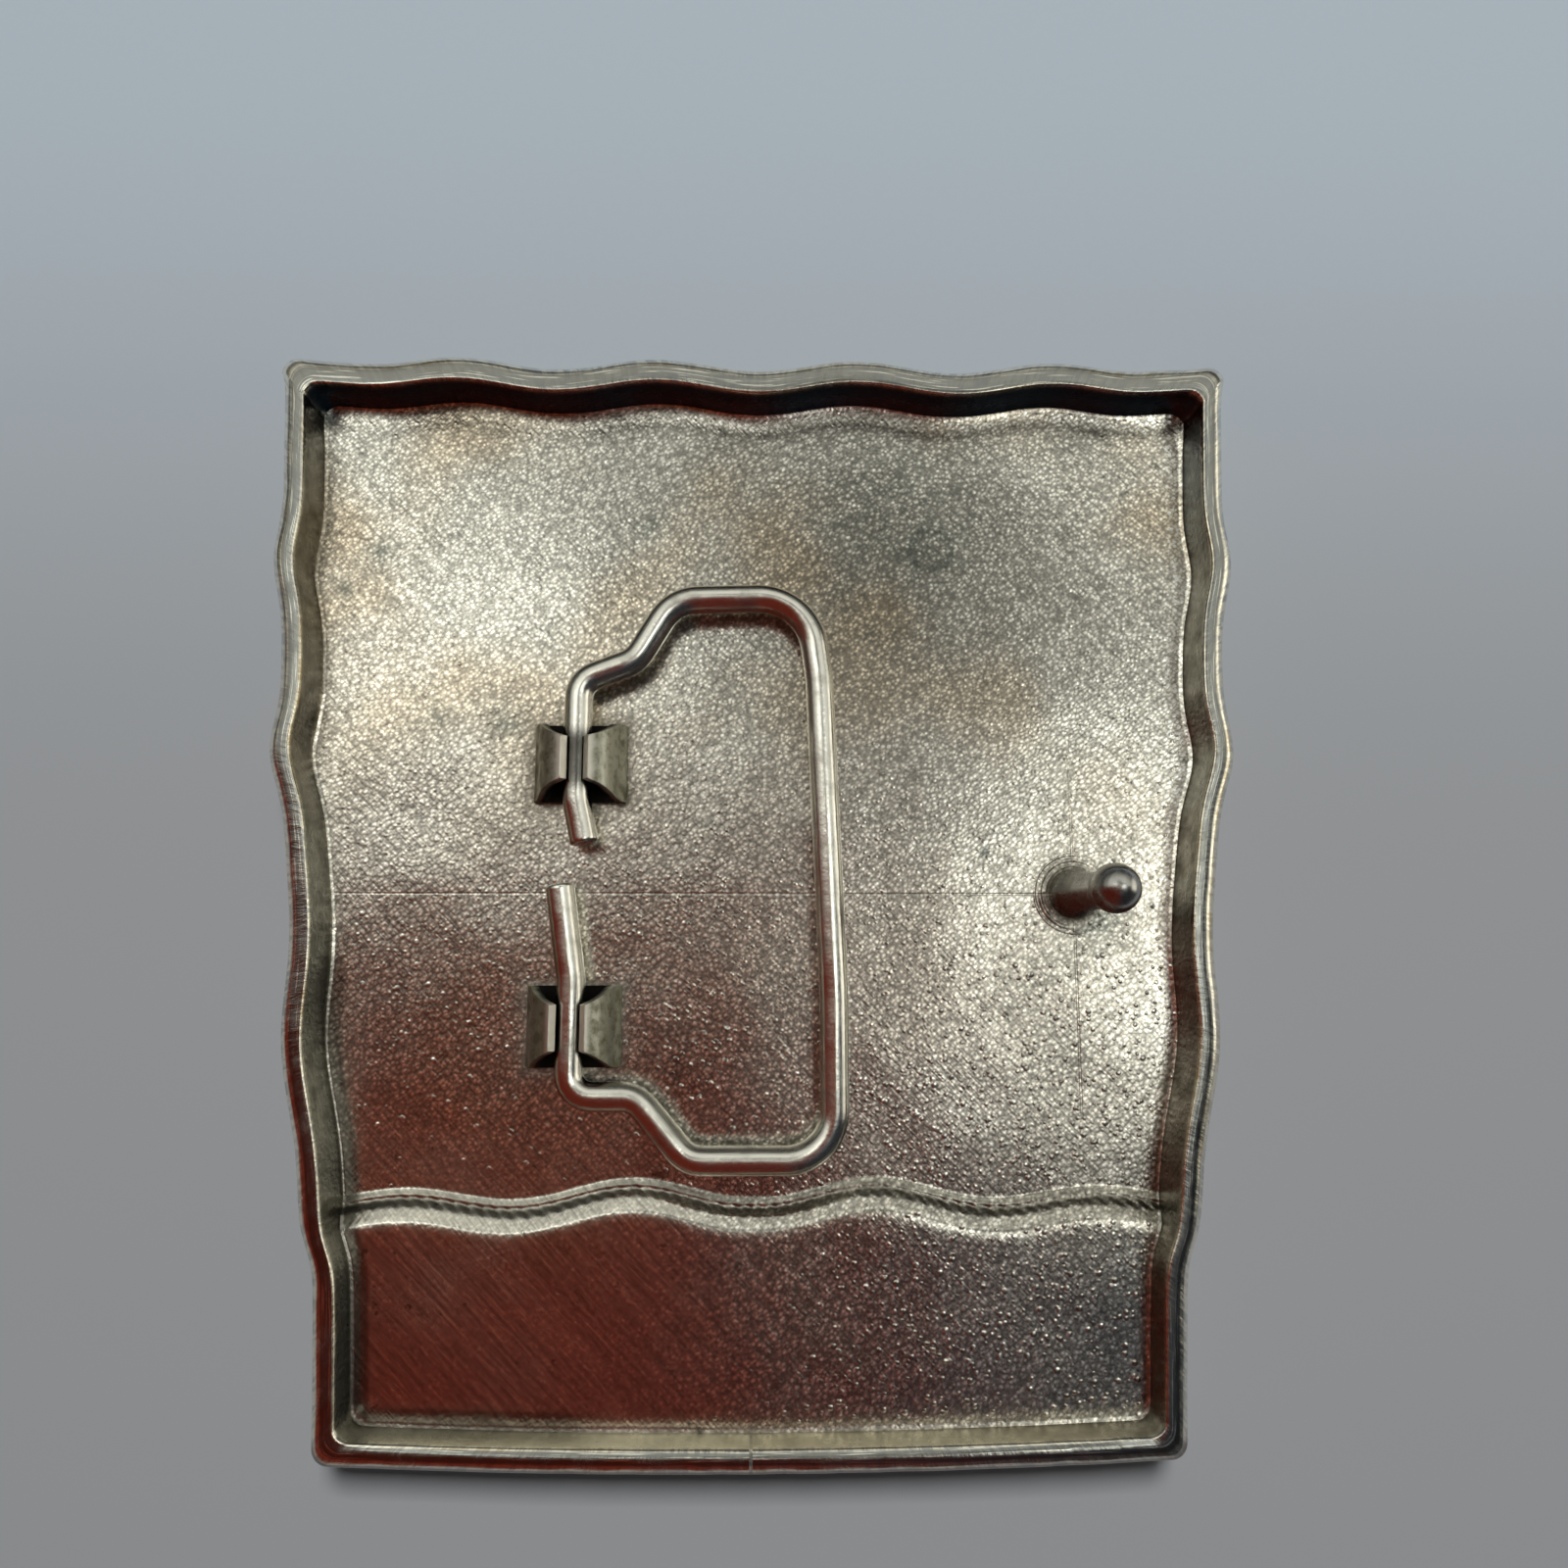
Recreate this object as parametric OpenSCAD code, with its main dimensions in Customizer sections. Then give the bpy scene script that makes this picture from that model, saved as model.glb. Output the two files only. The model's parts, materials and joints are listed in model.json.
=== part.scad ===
// Plate belt buckle, seen from its back: a cast tray with a wavy rim, a wire bail
// that swings in two crimped keepers, and a hook stud for the strap's holes.
// The plate lies on its face: +Z points out of the back, +Y to the buckle's top edge.
// The origin is the middle of the plate, on the plane that the face rests on.

/* [Plate outline] */
// Height of the plate, from the bottom edge to the highest crest of the top edge
plate_h = 83.3; // [83:0.1:84]
// Half the width of the plate where its two straight tapers cross the middle
side_mid = 35.6; // [35.2:0.1:36]
// How much wider each side gets for each millimetre up the plate
side_taper = 0.052; // [0.045:0.001:0.06]
// Height of the waves along the top edge, from the mean line to a crest
top_wave = 0.47; // [0.2:0.01:0.8]
// Distance between two crests of the top edge
top_pitch = 16; // [15:0.5:17]
// How far the top edge's outermost troughs are raised
top_lift = 0.38; // [0:0.02:0.5]
// How far the bottom edge bows out in its middle
bottom_bow = 0.77; // [0:0.01:1.2]

/* [Plate section] */
// Height of the rim's top over the face
rim_z = 6.2; // [6:0.1:6.8]
// Depth of the upper floor below the rim's top
upper_depth = 4; // [3.6:0.1:4.2]
// Depth of the lower floor below the rim's top
lower_depth = 2.8; // [2.4:0.1:3]
// Thickness of the cast floor between the back and the face
skin = 1.5; // [1.2:0.1:1.6]
// Distance from the widest outline to the rim's inner edge
rim_w = 2; // [1.8:0.1:2.4]
// Width of the sloped shoulder outside the rim's flat top
shoulder_w = 1.25; // [0.8:0.05:1.4]
// Height of the sloped shoulder
shoulder_h = 1.5; // [1:0.1:2]
// Width and height of the rounding of the border on the face
face_round = 0.9; // [0.4:0.1:1.2]
// Width of the raised border around the face
border_w = 4.2; // [3.5:0.1:5]

/* [Hook stud] */
// Distance of the stud's foot from the middle of the plate
stud_x = 24.8; // [24:0.1:25.5]
// Height of the middle of the stud's ball over the floor, along the stud
stud_reach = 6.6; // [6:0.1:7]
// Radius of the stud's ball
ball_r = 1.85; // [1.7:0.05:2]
// Radius of the stud's neck
neck_r = 1.45; // [1.3:0.05:1.5]
// Radius of the stud's foot
foot_r = 1.9; // [1.7:0.05:2.1]
// Lean of the stud, away from the bail
stud_lean = 12; // [0:1:14]

/* [Bail] */
// Diameter of the bail's wire
wire_d = 2.2; // [2:0.05:2.25]
// Distance of the hinge line from the middle of the plate
hinge_x = -13.65; // [-14:0.05:-13.4]
// Height of the hinge line over the upper floor
hinge_h = 2.3; // [2.2:0.05:2.35]
// Reach of the bail from the hinge line to its far bar
bail_reach = 19.6; // [19.2:0.05:19.8]

/* [Keepers] */
// Distance of each keeper's middle from the hardware line
keeper_y = 10.05; // [9.9:0.05:10.2]
// Length of a keeper's foot along the wire
keeper_len = 6.1; // [5.8:0.1:6.2]
// Width of a keeper's foot across the wire
keeper_w = 7.3; // [7:0.1:7.6]
// Height of a keeper's ears over the floor
keeper_h = 4; // [3.95:0.05:4.1]
// Gap between the tips of the upper keeper's ears
upper_gap = 1.1; // [1:0.05:1.7]
// Gap between the tips of the lower keeper's ears
lower_gap = 1.6; // [1:0.05:1.7]
// Thickness of the strip that a keeper is bent from
strip_t = 0.6; // [0.5:0.05:0.65]

/* [Hidden] */

$fn = 48;
squeeze = 0.01;                      // press of the stud's shank in its hole
over = 1;                            // how far a cut runs past the surface it opens
half_h = plate_h / 2;
upper_z = rim_z - upper_depth;       // upper floor
lower_z = rim_z - lower_depth;       // lower floor, a plateau above the upper one
field_z = upper_z - skin;            // roof of the shallow field on the face
band_z = lower_z - skin;             // roof of the deeper band at the face's foot
hardware_y = -1.07;                  // the line that the keepers and the stud are set out on
hinge_z = upper_z + hinge_h;
wire_r = wire_d / 2;
shank_r = 1.2;                       // stud's shank in the plate
shank_len = 1;
corner_r = 1.2;                      // corners of the outline
side_steps = 48;
edge_steps = 48;
arc_steps = 5;

// Bumps of each side: [place along Y, spread, height].
side_bumps = [[43, 2.4, 0.9], [24.5, 3.25, 0.7], [9.5, 3.3, 0.9], [-12.25, 6.25, 1.25]];
// Places where each side steps in: [place along Y, spread, amount].
side_steps_in = [[-2, 9, 1.82], [-26.4, 1.65, 1.07]];

function sum(v, i = 0) = i < len(v) ? v[i] + sum(v, i + 1) : 0;
// Rises smoothly from 0 to 1 around t = 0.
function ease(t) = 1 / (1 + exp(-2 * t));
// Distance of the side from the middle line, at height y.
function side(y) = side_mid + side_taper * y
    + sum([for (b = side_bumps) b[2] * exp(-pow((y - b[0]) / b[1], 2))])
    - sum([for (s = side_steps_in) s[2] * ease((s[0] - y) / s[1])]);
// Height of the top edge, with crests half a pitch either side of the middle and
// shallower troughs at the corners.
function top(x) = half_h - top_wave - top_wave * cos(360 * x / top_pitch)
    + top_lift * exp(-pow((abs(x) - 2 * top_pitch - 1) / 3.3, 2));
// Height of the bottom edge.
function bottom(x) = -half_h + bottom_bow * pow(x / side(-half_h), 2);
// Line where the lower plateau meets the upper floor, a wave that dies down outwards.
function plateau(x) = -23 - 0.0007 * x * x
    + (0.75 - 0.0004 * x * x) * cos(360 * (abs(x) - 9.2) / 17.4);

// Points of an arc round c, from one bearing to another.
function arc(c, r, from, to) =
    [for (i = [0:arc_steps]) let (a = from + (to - from) * i / arc_steps) c + r * [cos(a), sin(a)]];

// Right half of the outline moved in by d, from the bottom's middle to the top's middle.
function right_half(d, r) =
    let (y1 = bottom(side(-half_h)) + d + r, x1 = side(y1) - d - r)
    let (y2 = top(side(half_h)) - d - r, x2 = side(y2) - d - r)
    concat(
        [for (i = [0:edge_steps / 4 - 1]) let (x = x1 * i / (edge_steps / 4)) [x, bottom(x) + d]],
        arc([x1, bottom(x1) + d + r], r, -90, 0),
        [for (i = [1:side_steps - 1]) let (y = y1 + (y2 - y1) * i / side_steps) [side(y) - d, y]],
        arc([x2, top(x2) - d - r], r, 0, 90),
        [for (i = [1:edge_steps / 2]) let (x = x2 * (1 - i / (edge_steps / 2))) [x, top(x) - d]]);

// Whole outline moved in by d, with corners of radius r.
module outline(d, r) {
    half = right_half(d, r);
    n = len(half);
    polygon(concat(half, [for (i = [n - 2:-1:1]) [-half[i][0], half[i][1]]]));
}

// Everything above the plateau's edge line, the edge moved down by d.
module above_plateau(d) {
    far = side_mid + 10;
    polygon(concat(
        [for (i = [0:60]) let (x = -far + 2 * far * i / 60)
            [x, plateau(max(-side_mid, min(side_mid, x))) - d]],
        [[far, half_h + 10], [-far, half_h + 10]]));
}

// The outline as a slab that narrows by d over its height h.
module narrowing_slab(h, d) {
    linear_extrude(h, scale = [1 - d / side_mid, 1 - d / half_h], slices = 1)
        outline(0, corner_r);
}

// Back tray: two floors at different heights inside the rim, joined by a stepped slope.
module back_tray() {
    slope_layers = 4;
    rise = lower_z - upper_z;
    translate([0, 0, lower_z]) linear_extrude(rim_z - lower_z + over) outline(rim_w, corner_r);
    for (i = [0:slope_layers - 1])
        translate([0, 0, upper_z + rise * i / slope_layers])
            linear_extrude(rise) intersection() {
                outline(rim_w, corner_r);
                above_plateau(0.5 + 0.45 * i);
            }
}

// Face: a shallow field and a deeper band inside the border, with a wavy rail between.
module face_relief() {
    rail_w = 2.4;
    translate([0, 0, -over]) linear_extrude(field_z + over) intersection() {
        outline(border_w, corner_r);
        above_plateau(-rail_w / 2 - 0.5);
    }
    translate([0, 0, -over]) linear_extrude(band_z + over) difference() {
        outline(border_w, corner_r);
        above_plateau(rail_w / 2 + 0.5);
    }
}

module plate() {
    color([0.72, 0.70, 0.66])
        difference() {
            union() {
                translate([0, 0, face_round]) mirror([0, 0, 1])
                    narrowing_slab(face_round, face_round);
                translate([0, 0, face_round])
                    linear_extrude(rim_z - shoulder_h - face_round) outline(0, corner_r);
                translate([0, 0, rim_z - shoulder_h]) narrowing_slab(shoulder_h, shoulder_w);
            }
            back_tray();
            face_relief();
            translate([stud_x, hardware_y, upper_z - shank_len])
                cylinder(h = shank_len + over, r = shank_r);
        }
}

// Section of a keeper across the wire: a flat foot and two ears that curl in over the wire.
module keeper_section(gap) {
    w = keeper_w / 2;
    tip = gap / 2;
    t = strip_t;
    outer = [[w, 0], [w - 0.15, 0.55], [w - 0.5, 1.3], [w - 0.75, 2.2], [w - 1.1, 2.95],
             [w - 1.75, 3.5], [tip + 0.45, keeper_h]];
    inner = [[tip, keeper_h - 0.95 * t], [w - 1.75 - 0.65 * t, 3.5 - 0.8 * t],
             [w - 1.1 - 0.9 * t, 2.95 - 0.6 * t], [w - 0.75 - t, 2.2 - 0.2 * t],
             [w - 0.5 - t, 1.3 - 0.1 * t], [w - 0.3 - t, t + 0.15], [w - 0.6 - t, t]];
    right = concat(outer, inner);
    polygon(concat(right, [for (i = [len(right) - 1:-1:0]) [-right[i][0], right[i][1]]]));
}

// Side view of a keeper: its ears narrow towards their tips.
module keeper_profile() {
    l = keeper_len / 2;
    tip = 1.65;
    right = [[l, 0], [l, 1.2], [l - 0.2, 2.1], [l - 0.6, 2.95], [tip + 0.3, 3.6], [tip, keeper_h]];
    polygon(concat(right, [for (i = [len(right) - 1:-1:0]) [-right[i][0], right[i][1]]]));
}

// Keeper with its middle at height y on the hinge line, its ears clear of the wire.
module keeper(y, gap) {
    translate([hinge_x, y, upper_z])
        intersection() {
            rotate([90, 0, 0]) linear_extrude(keeper_len, center = true) keeper_section(gap);
            rotate([90, 0, 90]) linear_extrude(keeper_w, center = true) keeper_profile();
        }
}

module upper_keeper() { color([0.55, 0.55, 0.50]) keeper(hardware_y + keeper_y, upper_gap); }
module lower_keeper() { color([0.55, 0.55, 0.50]) keeper(hardware_y - keeper_y, lower_gap); }

// Turned stud: a shank pressed in the plate, a flared foot, a neck and a ball.
module hook_stud() {
    foot_h = 2.6;
    color([0.60, 0.60, 0.60])
        translate([stud_x, hardware_y, upper_z]) {
            translate([0, 0, -shank_len]) cylinder(h = shank_len + 0.2, r = shank_r + squeeze);
            intersection() {
                rotate([0, stud_lean, 0]) union() {
                    translate([0, 0, -over]) cylinder(h = over + 0.8, r = foot_r);
                    translate([0, 0, 0.8]) cylinder(h = foot_h - 0.8, r1 = foot_r, r2 = neck_r);
                    cylinder(h = stud_reach, r = neck_r);
                    translate([0, 0, stud_reach]) sphere(ball_r);
                }
                translate([0, 0, 10]) cube(20, center = true);
            }
        }
}

// Bends of the bail in the plane of its loop: [distance from the hinge line,
// distance from the hardware line, radius]. The first and the last are the cut ends.
bends = [
    [0.75, 3.6, 0], [0, 7, 3],
    [0, 16.25, 1.9], [4.3, 17.9, 2.4], [7.2, 22.8, 3.4],
    [bail_reach - 1.9, 23.1, 4.4], [bail_reach - 1, 16.5, 12], [bail_reach, -8, 40],
    [bail_reach, -19.6, 3.6],
    [8.8, -19.6, 2.4], [4.9, -15.05, 2], [0, -15.05, 1.7],
    [0, -6.6, 3], [-1.05, 0.55, 0]];

function unit(v) = v / norm(v);
function at(i) = [bends[i][0], bends[i][1]];
// Angle that the wire turns through at bend i, positive to the left.
function turn(i) =
    let (a = unit(at(i) - at(i - 1)), b = unit(at(i + 1) - at(i)))
    atan2(a[0] * b[1] - a[1] * b[0], a[0] * b[0] + a[1] * b[1]);
// Points along bend i, an arc that touches the straight wire on both sides of it.
function bend_points(i) =
    let (dir = unit(at(i) - at(i - 1)), t = turn(i), r = bends[i][2], n = ceil(abs(t) / 14) + 1)
    let (start = at(i) - dir * r * abs(tan(t / 2)))
    let (centre = start + sign(t) * r * [-dir[1], dir[0]], from = start - centre)
    [for (k = [0:n]) let (a = t * k / n)
        centre + [from[0] * cos(a) - from[1] * sin(a), from[0] * sin(a) + from[1] * cos(a)]];

// Middle of the wire from one cut end to the other.
wire_route = concat([at(0)], [for (i = [1:len(bends) - 2]) each bend_points(i)],
                    [at(len(bends) - 1)]);
wire_sides = 16;

// Direction across the wire at point i of its route.
function across(i) =
    let (p = wire_route, a = max(0, i - 1), b = min(len(p) - 1, i + 1), d = unit(p[b] - p[a]))
    [-d[1], d[0]];

// Round wire swept along its route.
module swept_wire(r) {
    n = len(wire_route);
    m = wire_sides;
    points = [for (i = [0:n - 1]) let (c = wire_route[i], s = across(i))
        for (k = [0:m - 1]) let (a = 360 * (k + 0.5) / m)
            [c[0] + r * cos(a) * s[0], c[1] + r * cos(a) * s[1], r * sin(a)]];
    skin_faces = [for (i = [0:n - 2]) for (k = [0:m - 1]) let (a = i * m + k, b = i * m + (k + 1) % m)
        each [[a, b + m, b], [a, a + m, b + m]]];
    polyhedron(points, concat(skin_faces,
        [[for (k = [0:m - 1]) k], [for (k = [m - 1:-1:0]) (n - 1) * m + k]]));
}

// Straight leg of the bail on the hinge line, from one height to another.
module leg(y1, y2) {
    translate([0, y2, 0]) rotate([90, 0, 0]) cylinder(h = y2 - y1, r = wire_r);
}

module bail() {
    color([0.80, 0.80, 0.78])
        translate([hinge_x, hardware_y, hinge_z]) {
            swept_wire(wire_r - 0.006);
            leg(7.05, 14.7);
            leg(-13.3, -6.9);
        }
}

plate();
upper_keeper();
lower_keeper();
hook_stud();
bail();
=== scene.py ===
"""Dresses a plate belt buckle lying on its face, with its back up.

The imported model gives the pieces, their places and the hinge. This script puts finer
surfaces over them: the cast plate as a swept rim, a back floor and a face, the crimped
keepers, the turned stud and the drawn wire of the bail, each in its own metal finish.
All shapes are worked out in millimetres and go into Blender in metres.
"""
import json
import logging
import math
from dataclasses import dataclass
from enum import Enum

import bpy
import numpy as np
from mathutils import Matrix, Vector


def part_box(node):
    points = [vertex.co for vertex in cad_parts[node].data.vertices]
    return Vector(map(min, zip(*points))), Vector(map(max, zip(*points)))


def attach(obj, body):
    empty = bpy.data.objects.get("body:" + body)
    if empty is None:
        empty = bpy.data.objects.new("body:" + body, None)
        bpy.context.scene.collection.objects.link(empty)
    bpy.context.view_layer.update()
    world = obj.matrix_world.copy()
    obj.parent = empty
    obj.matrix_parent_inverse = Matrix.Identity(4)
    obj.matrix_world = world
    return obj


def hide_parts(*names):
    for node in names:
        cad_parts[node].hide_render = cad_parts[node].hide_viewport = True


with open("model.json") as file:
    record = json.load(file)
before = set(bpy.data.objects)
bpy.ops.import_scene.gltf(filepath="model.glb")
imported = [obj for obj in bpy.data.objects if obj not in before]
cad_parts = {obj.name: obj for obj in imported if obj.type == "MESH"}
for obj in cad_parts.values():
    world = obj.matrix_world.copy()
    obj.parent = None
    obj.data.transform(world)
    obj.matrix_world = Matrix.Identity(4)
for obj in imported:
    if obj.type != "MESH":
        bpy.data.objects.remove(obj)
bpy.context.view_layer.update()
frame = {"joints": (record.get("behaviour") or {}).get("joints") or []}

MM = 0.001
STUD = (24.8, -1.07)
KEEPERS = ((-13.65, 8.98), (-13.65, -11.12))
# Colour of dirt, also used as painted shade in the step's pits and groove and round the stud's foot.
DIRT_AND_SHADE = (0.10, 0.09, 0.06)
EMBER = (0.105, 0.017, 0.010)
LOG = logging.getLogger("buckle")

Array = np.ndarray
Colour = tuple[float, float, float]


# ---------------------------------------------------------------- mesh helpers


class Body(Enum):
    """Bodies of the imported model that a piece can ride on."""

    BUCKLE = "buckle"
    BAIL = "bail"


class Slot(Enum):
    """Material slots of the record."""

    PLATE = "cast_plate"
    KEEPER = "keeper_metal"
    STUD = "stud_metal"
    WIRE = "bail_wire"


def smoothstep(t: Array) -> Array:
    """Rise from 0 at t = 0 to 1 at t = 1, level at both ends.

    Args:
        t: Where along the rise, clipped to 0..1.

    Returns:
        3t^2 - 2t^3.
    """
    t = np.clip(t, 0.0, 1.0)
    return t * t * (3 - 2 * t)


def lattice_noise(x: Array, y: Array, cell: float, seed: int) -> Array:
    """Smooth random height, from -1 to 1, on a square lattice.

    Each lattice corner holds a random value, and a point takes the smoothstep blend of
    the four corners round it.

    Args:
        x: First coordinates, in the same unit as cell.
        y: Second coordinates.
        cell: Distance between lattice lines.
        seed: Seed of the corner values.

    Returns:
        The height at each point.
    """
    table = np.random.default_rng(seed).uniform(-1, 1, (256, 256))
    gx, gy = x / cell, y / cell
    ix, iy = np.floor(gx).astype(int), np.floor(gy).astype(int)
    fx, fy = smoothstep(gx - ix), smoothstep(gy - iy)

    def corner(dx: int, dy: int) -> Array:
        """Value at one corner of each point's cell."""
        return table[(ix + dx) % 256, (iy + dy) % 256]

    low = corner(0, 0) * (1 - fx) + corner(1, 0) * fx
    high = corner(0, 1) * (1 - fx) + corner(1, 1) * fx
    return low * (1 - fy) + high * fy


def grid_quads(rows: int, cols: int, wrap_rows: bool = False, wrap_cols: bool = False) -> Array:
    """Corner numbers of the quads of a grid of points stored row by row.

    Args:
        rows: Number of rows of points.
        cols: Number of points in a row.
        wrap_rows: Whether the last row joins the first.
        wrap_cols: Whether the last point of a row joins its first.

    Returns:
        An array of quads, four corner numbers each.
    """
    i = np.arange(rows if wrap_rows else rows - 1)[:, None]
    j = np.arange(cols if wrap_cols else cols - 1)[None, :]
    i2, j2 = (i + 1) % rows, (j + 1) % cols
    quads = np.stack(np.broadcast_arrays(i * cols + j, i * cols + j2, i2 * cols + j2, i2 * cols + j), -1)
    return quads.reshape(-1, 4)


def signed_volume(points: Array, faces: list[Array]) -> float:
    """Volume inside closed faces, negative where they point inwards.

    Args:
        points: Corner places.
        faces: Arrays of faces, each array with one number of corners.

    Returns:
        The sum of the tetrahedra between the origin and every face's fan of triangles.
    """
    total = 0.0
    for group in faces:
        for k in range(1, group.shape[1] - 1):
            a, b, c = points[group[:, 0]], points[group[:, k]], points[group[:, k + 1]]
            total += float(np.einsum("ij,ij->", a, np.cross(b, c))) / 6
    return total


def mesh_object(name: str, points: Array, faces: list[Array], sharp: float = 40.0) -> bpy.types.Object:
    """Make a smooth-shaded mesh object at the origin from closed faces.

    Args:
        name: Name of the object and its mesh.
        points: Corner places in millimetres.
        faces: Arrays of faces, each array with one number of corners.
        sharp: Angle between faces, in degrees, above which their edge stays sharp.

    Returns:
        The new object, linked to the scene, with its faces pointing outwards.
    """
    if signed_volume(points, faces) < 0:
        faces = [group[:, ::-1] for group in faces]
    mesh = bpy.data.meshes.new(name)
    mesh.from_pydata((points * MM).tolist(), [], [f for group in faces for f in group.tolist()])
    mesh.update()
    mesh.polygons.foreach_set("use_smooth", np.ones(len(mesh.polygons), bool))
    mesh.set_sharp_from_angle(angle=math.radians(sharp))
    piece = bpy.data.objects.new(name, mesh)
    bpy.context.scene.collection.objects.link(piece)
    return piece


def store(piece: bpy.types.Object, name: str, values: Array) -> None:
    """Keep one number per mesh point as a named attribute.

    Args:
        piece: Object whose mesh gets the attribute.
        name: Name of the attribute.
        values: One number for each point, in the mesh's order.
    """
    layer = piece.data.attributes.new(name, "FLOAT", "POINT")
    layer.data.foreach_set("value", np.asarray(values, np.float32).ravel())


def settle(piece: bpy.types.Object, body: Body, slot: Slot, *nodes: str) -> bpy.types.Object:
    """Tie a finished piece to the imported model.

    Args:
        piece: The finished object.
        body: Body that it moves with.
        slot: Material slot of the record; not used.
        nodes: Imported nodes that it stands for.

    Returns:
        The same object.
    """
    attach(piece, body.value)
    if nodes:
        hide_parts(*nodes)
    LOG.info("%s: %d faces", piece.name, len(piece.data.polygons))
    return piece


def sweep_tube(route: Array, across: Array, up: Array, section: Array) -> tuple[Array, list[Array]]:
    """Carry a closed section along a route, with flat ends.

    Point (i, j) is route[i] + section[i, j, 0] * across[i] + section[i, j, 1] * up[i].

    Args:
        route: Places along the route, one row each.
        across: Unit direction of the section's first axis at each place.
        up: Unit direction of its second axis at each place.
        section: Section points at each place, shaped (places, points, 2).

    Returns:
        The points and the faces of the closed tube.
    """
    points = (route[:, None] + section[..., :1] * across[:, None] + section[..., 1:] * up[:, None])
    rows, cols = section.shape[:2]
    quads = grid_quads(rows, cols, wrap_cols=True)
    first = np.arange(cols)[::-1][None]
    last = (rows - 1) * cols + np.arange(cols)[None]
    return points.reshape(-1, 3), [quads, first, last]


def lathe(profile: Array, turns: int) -> tuple[Array, list[Array]]:
    """Turn a profile round the Z axis, closing it with a fan at each end.

    Args:
        profile: Radius and height at each ring; the radii at both ends are above 0.
        turns: Number of points round each ring.

    Returns:
        The points and the faces of the closed solid.
    """
    angle = np.linspace(0, 2 * np.pi, turns, endpoint=False)
    ring = np.stack([np.cos(angle), np.sin(angle)], -1)
    wall = np.concatenate([profile[:, None, :1] * ring[None],
                           np.repeat(profile[:, None, 1:], turns, 1)], -1).reshape(-1, 3)
    rows = len(profile)
    poles = np.array([[0, 0, profile[0, 1]], [0, 0, profile[-1, 1]]])
    j = np.arange(turns)
    j2 = (j + 1) % turns
    low = np.stack([np.full(turns, rows * turns), j2, j], -1)
    base = (rows - 1) * turns
    high = np.stack([np.full(turns, rows * turns + 1), base + j, base + j2], -1)
    return np.concatenate([wall, poles]), [grid_quads(rows, turns, wrap_cols=True), low, high]


# ---------------------------------------------------------------- shape of the plate


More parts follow.
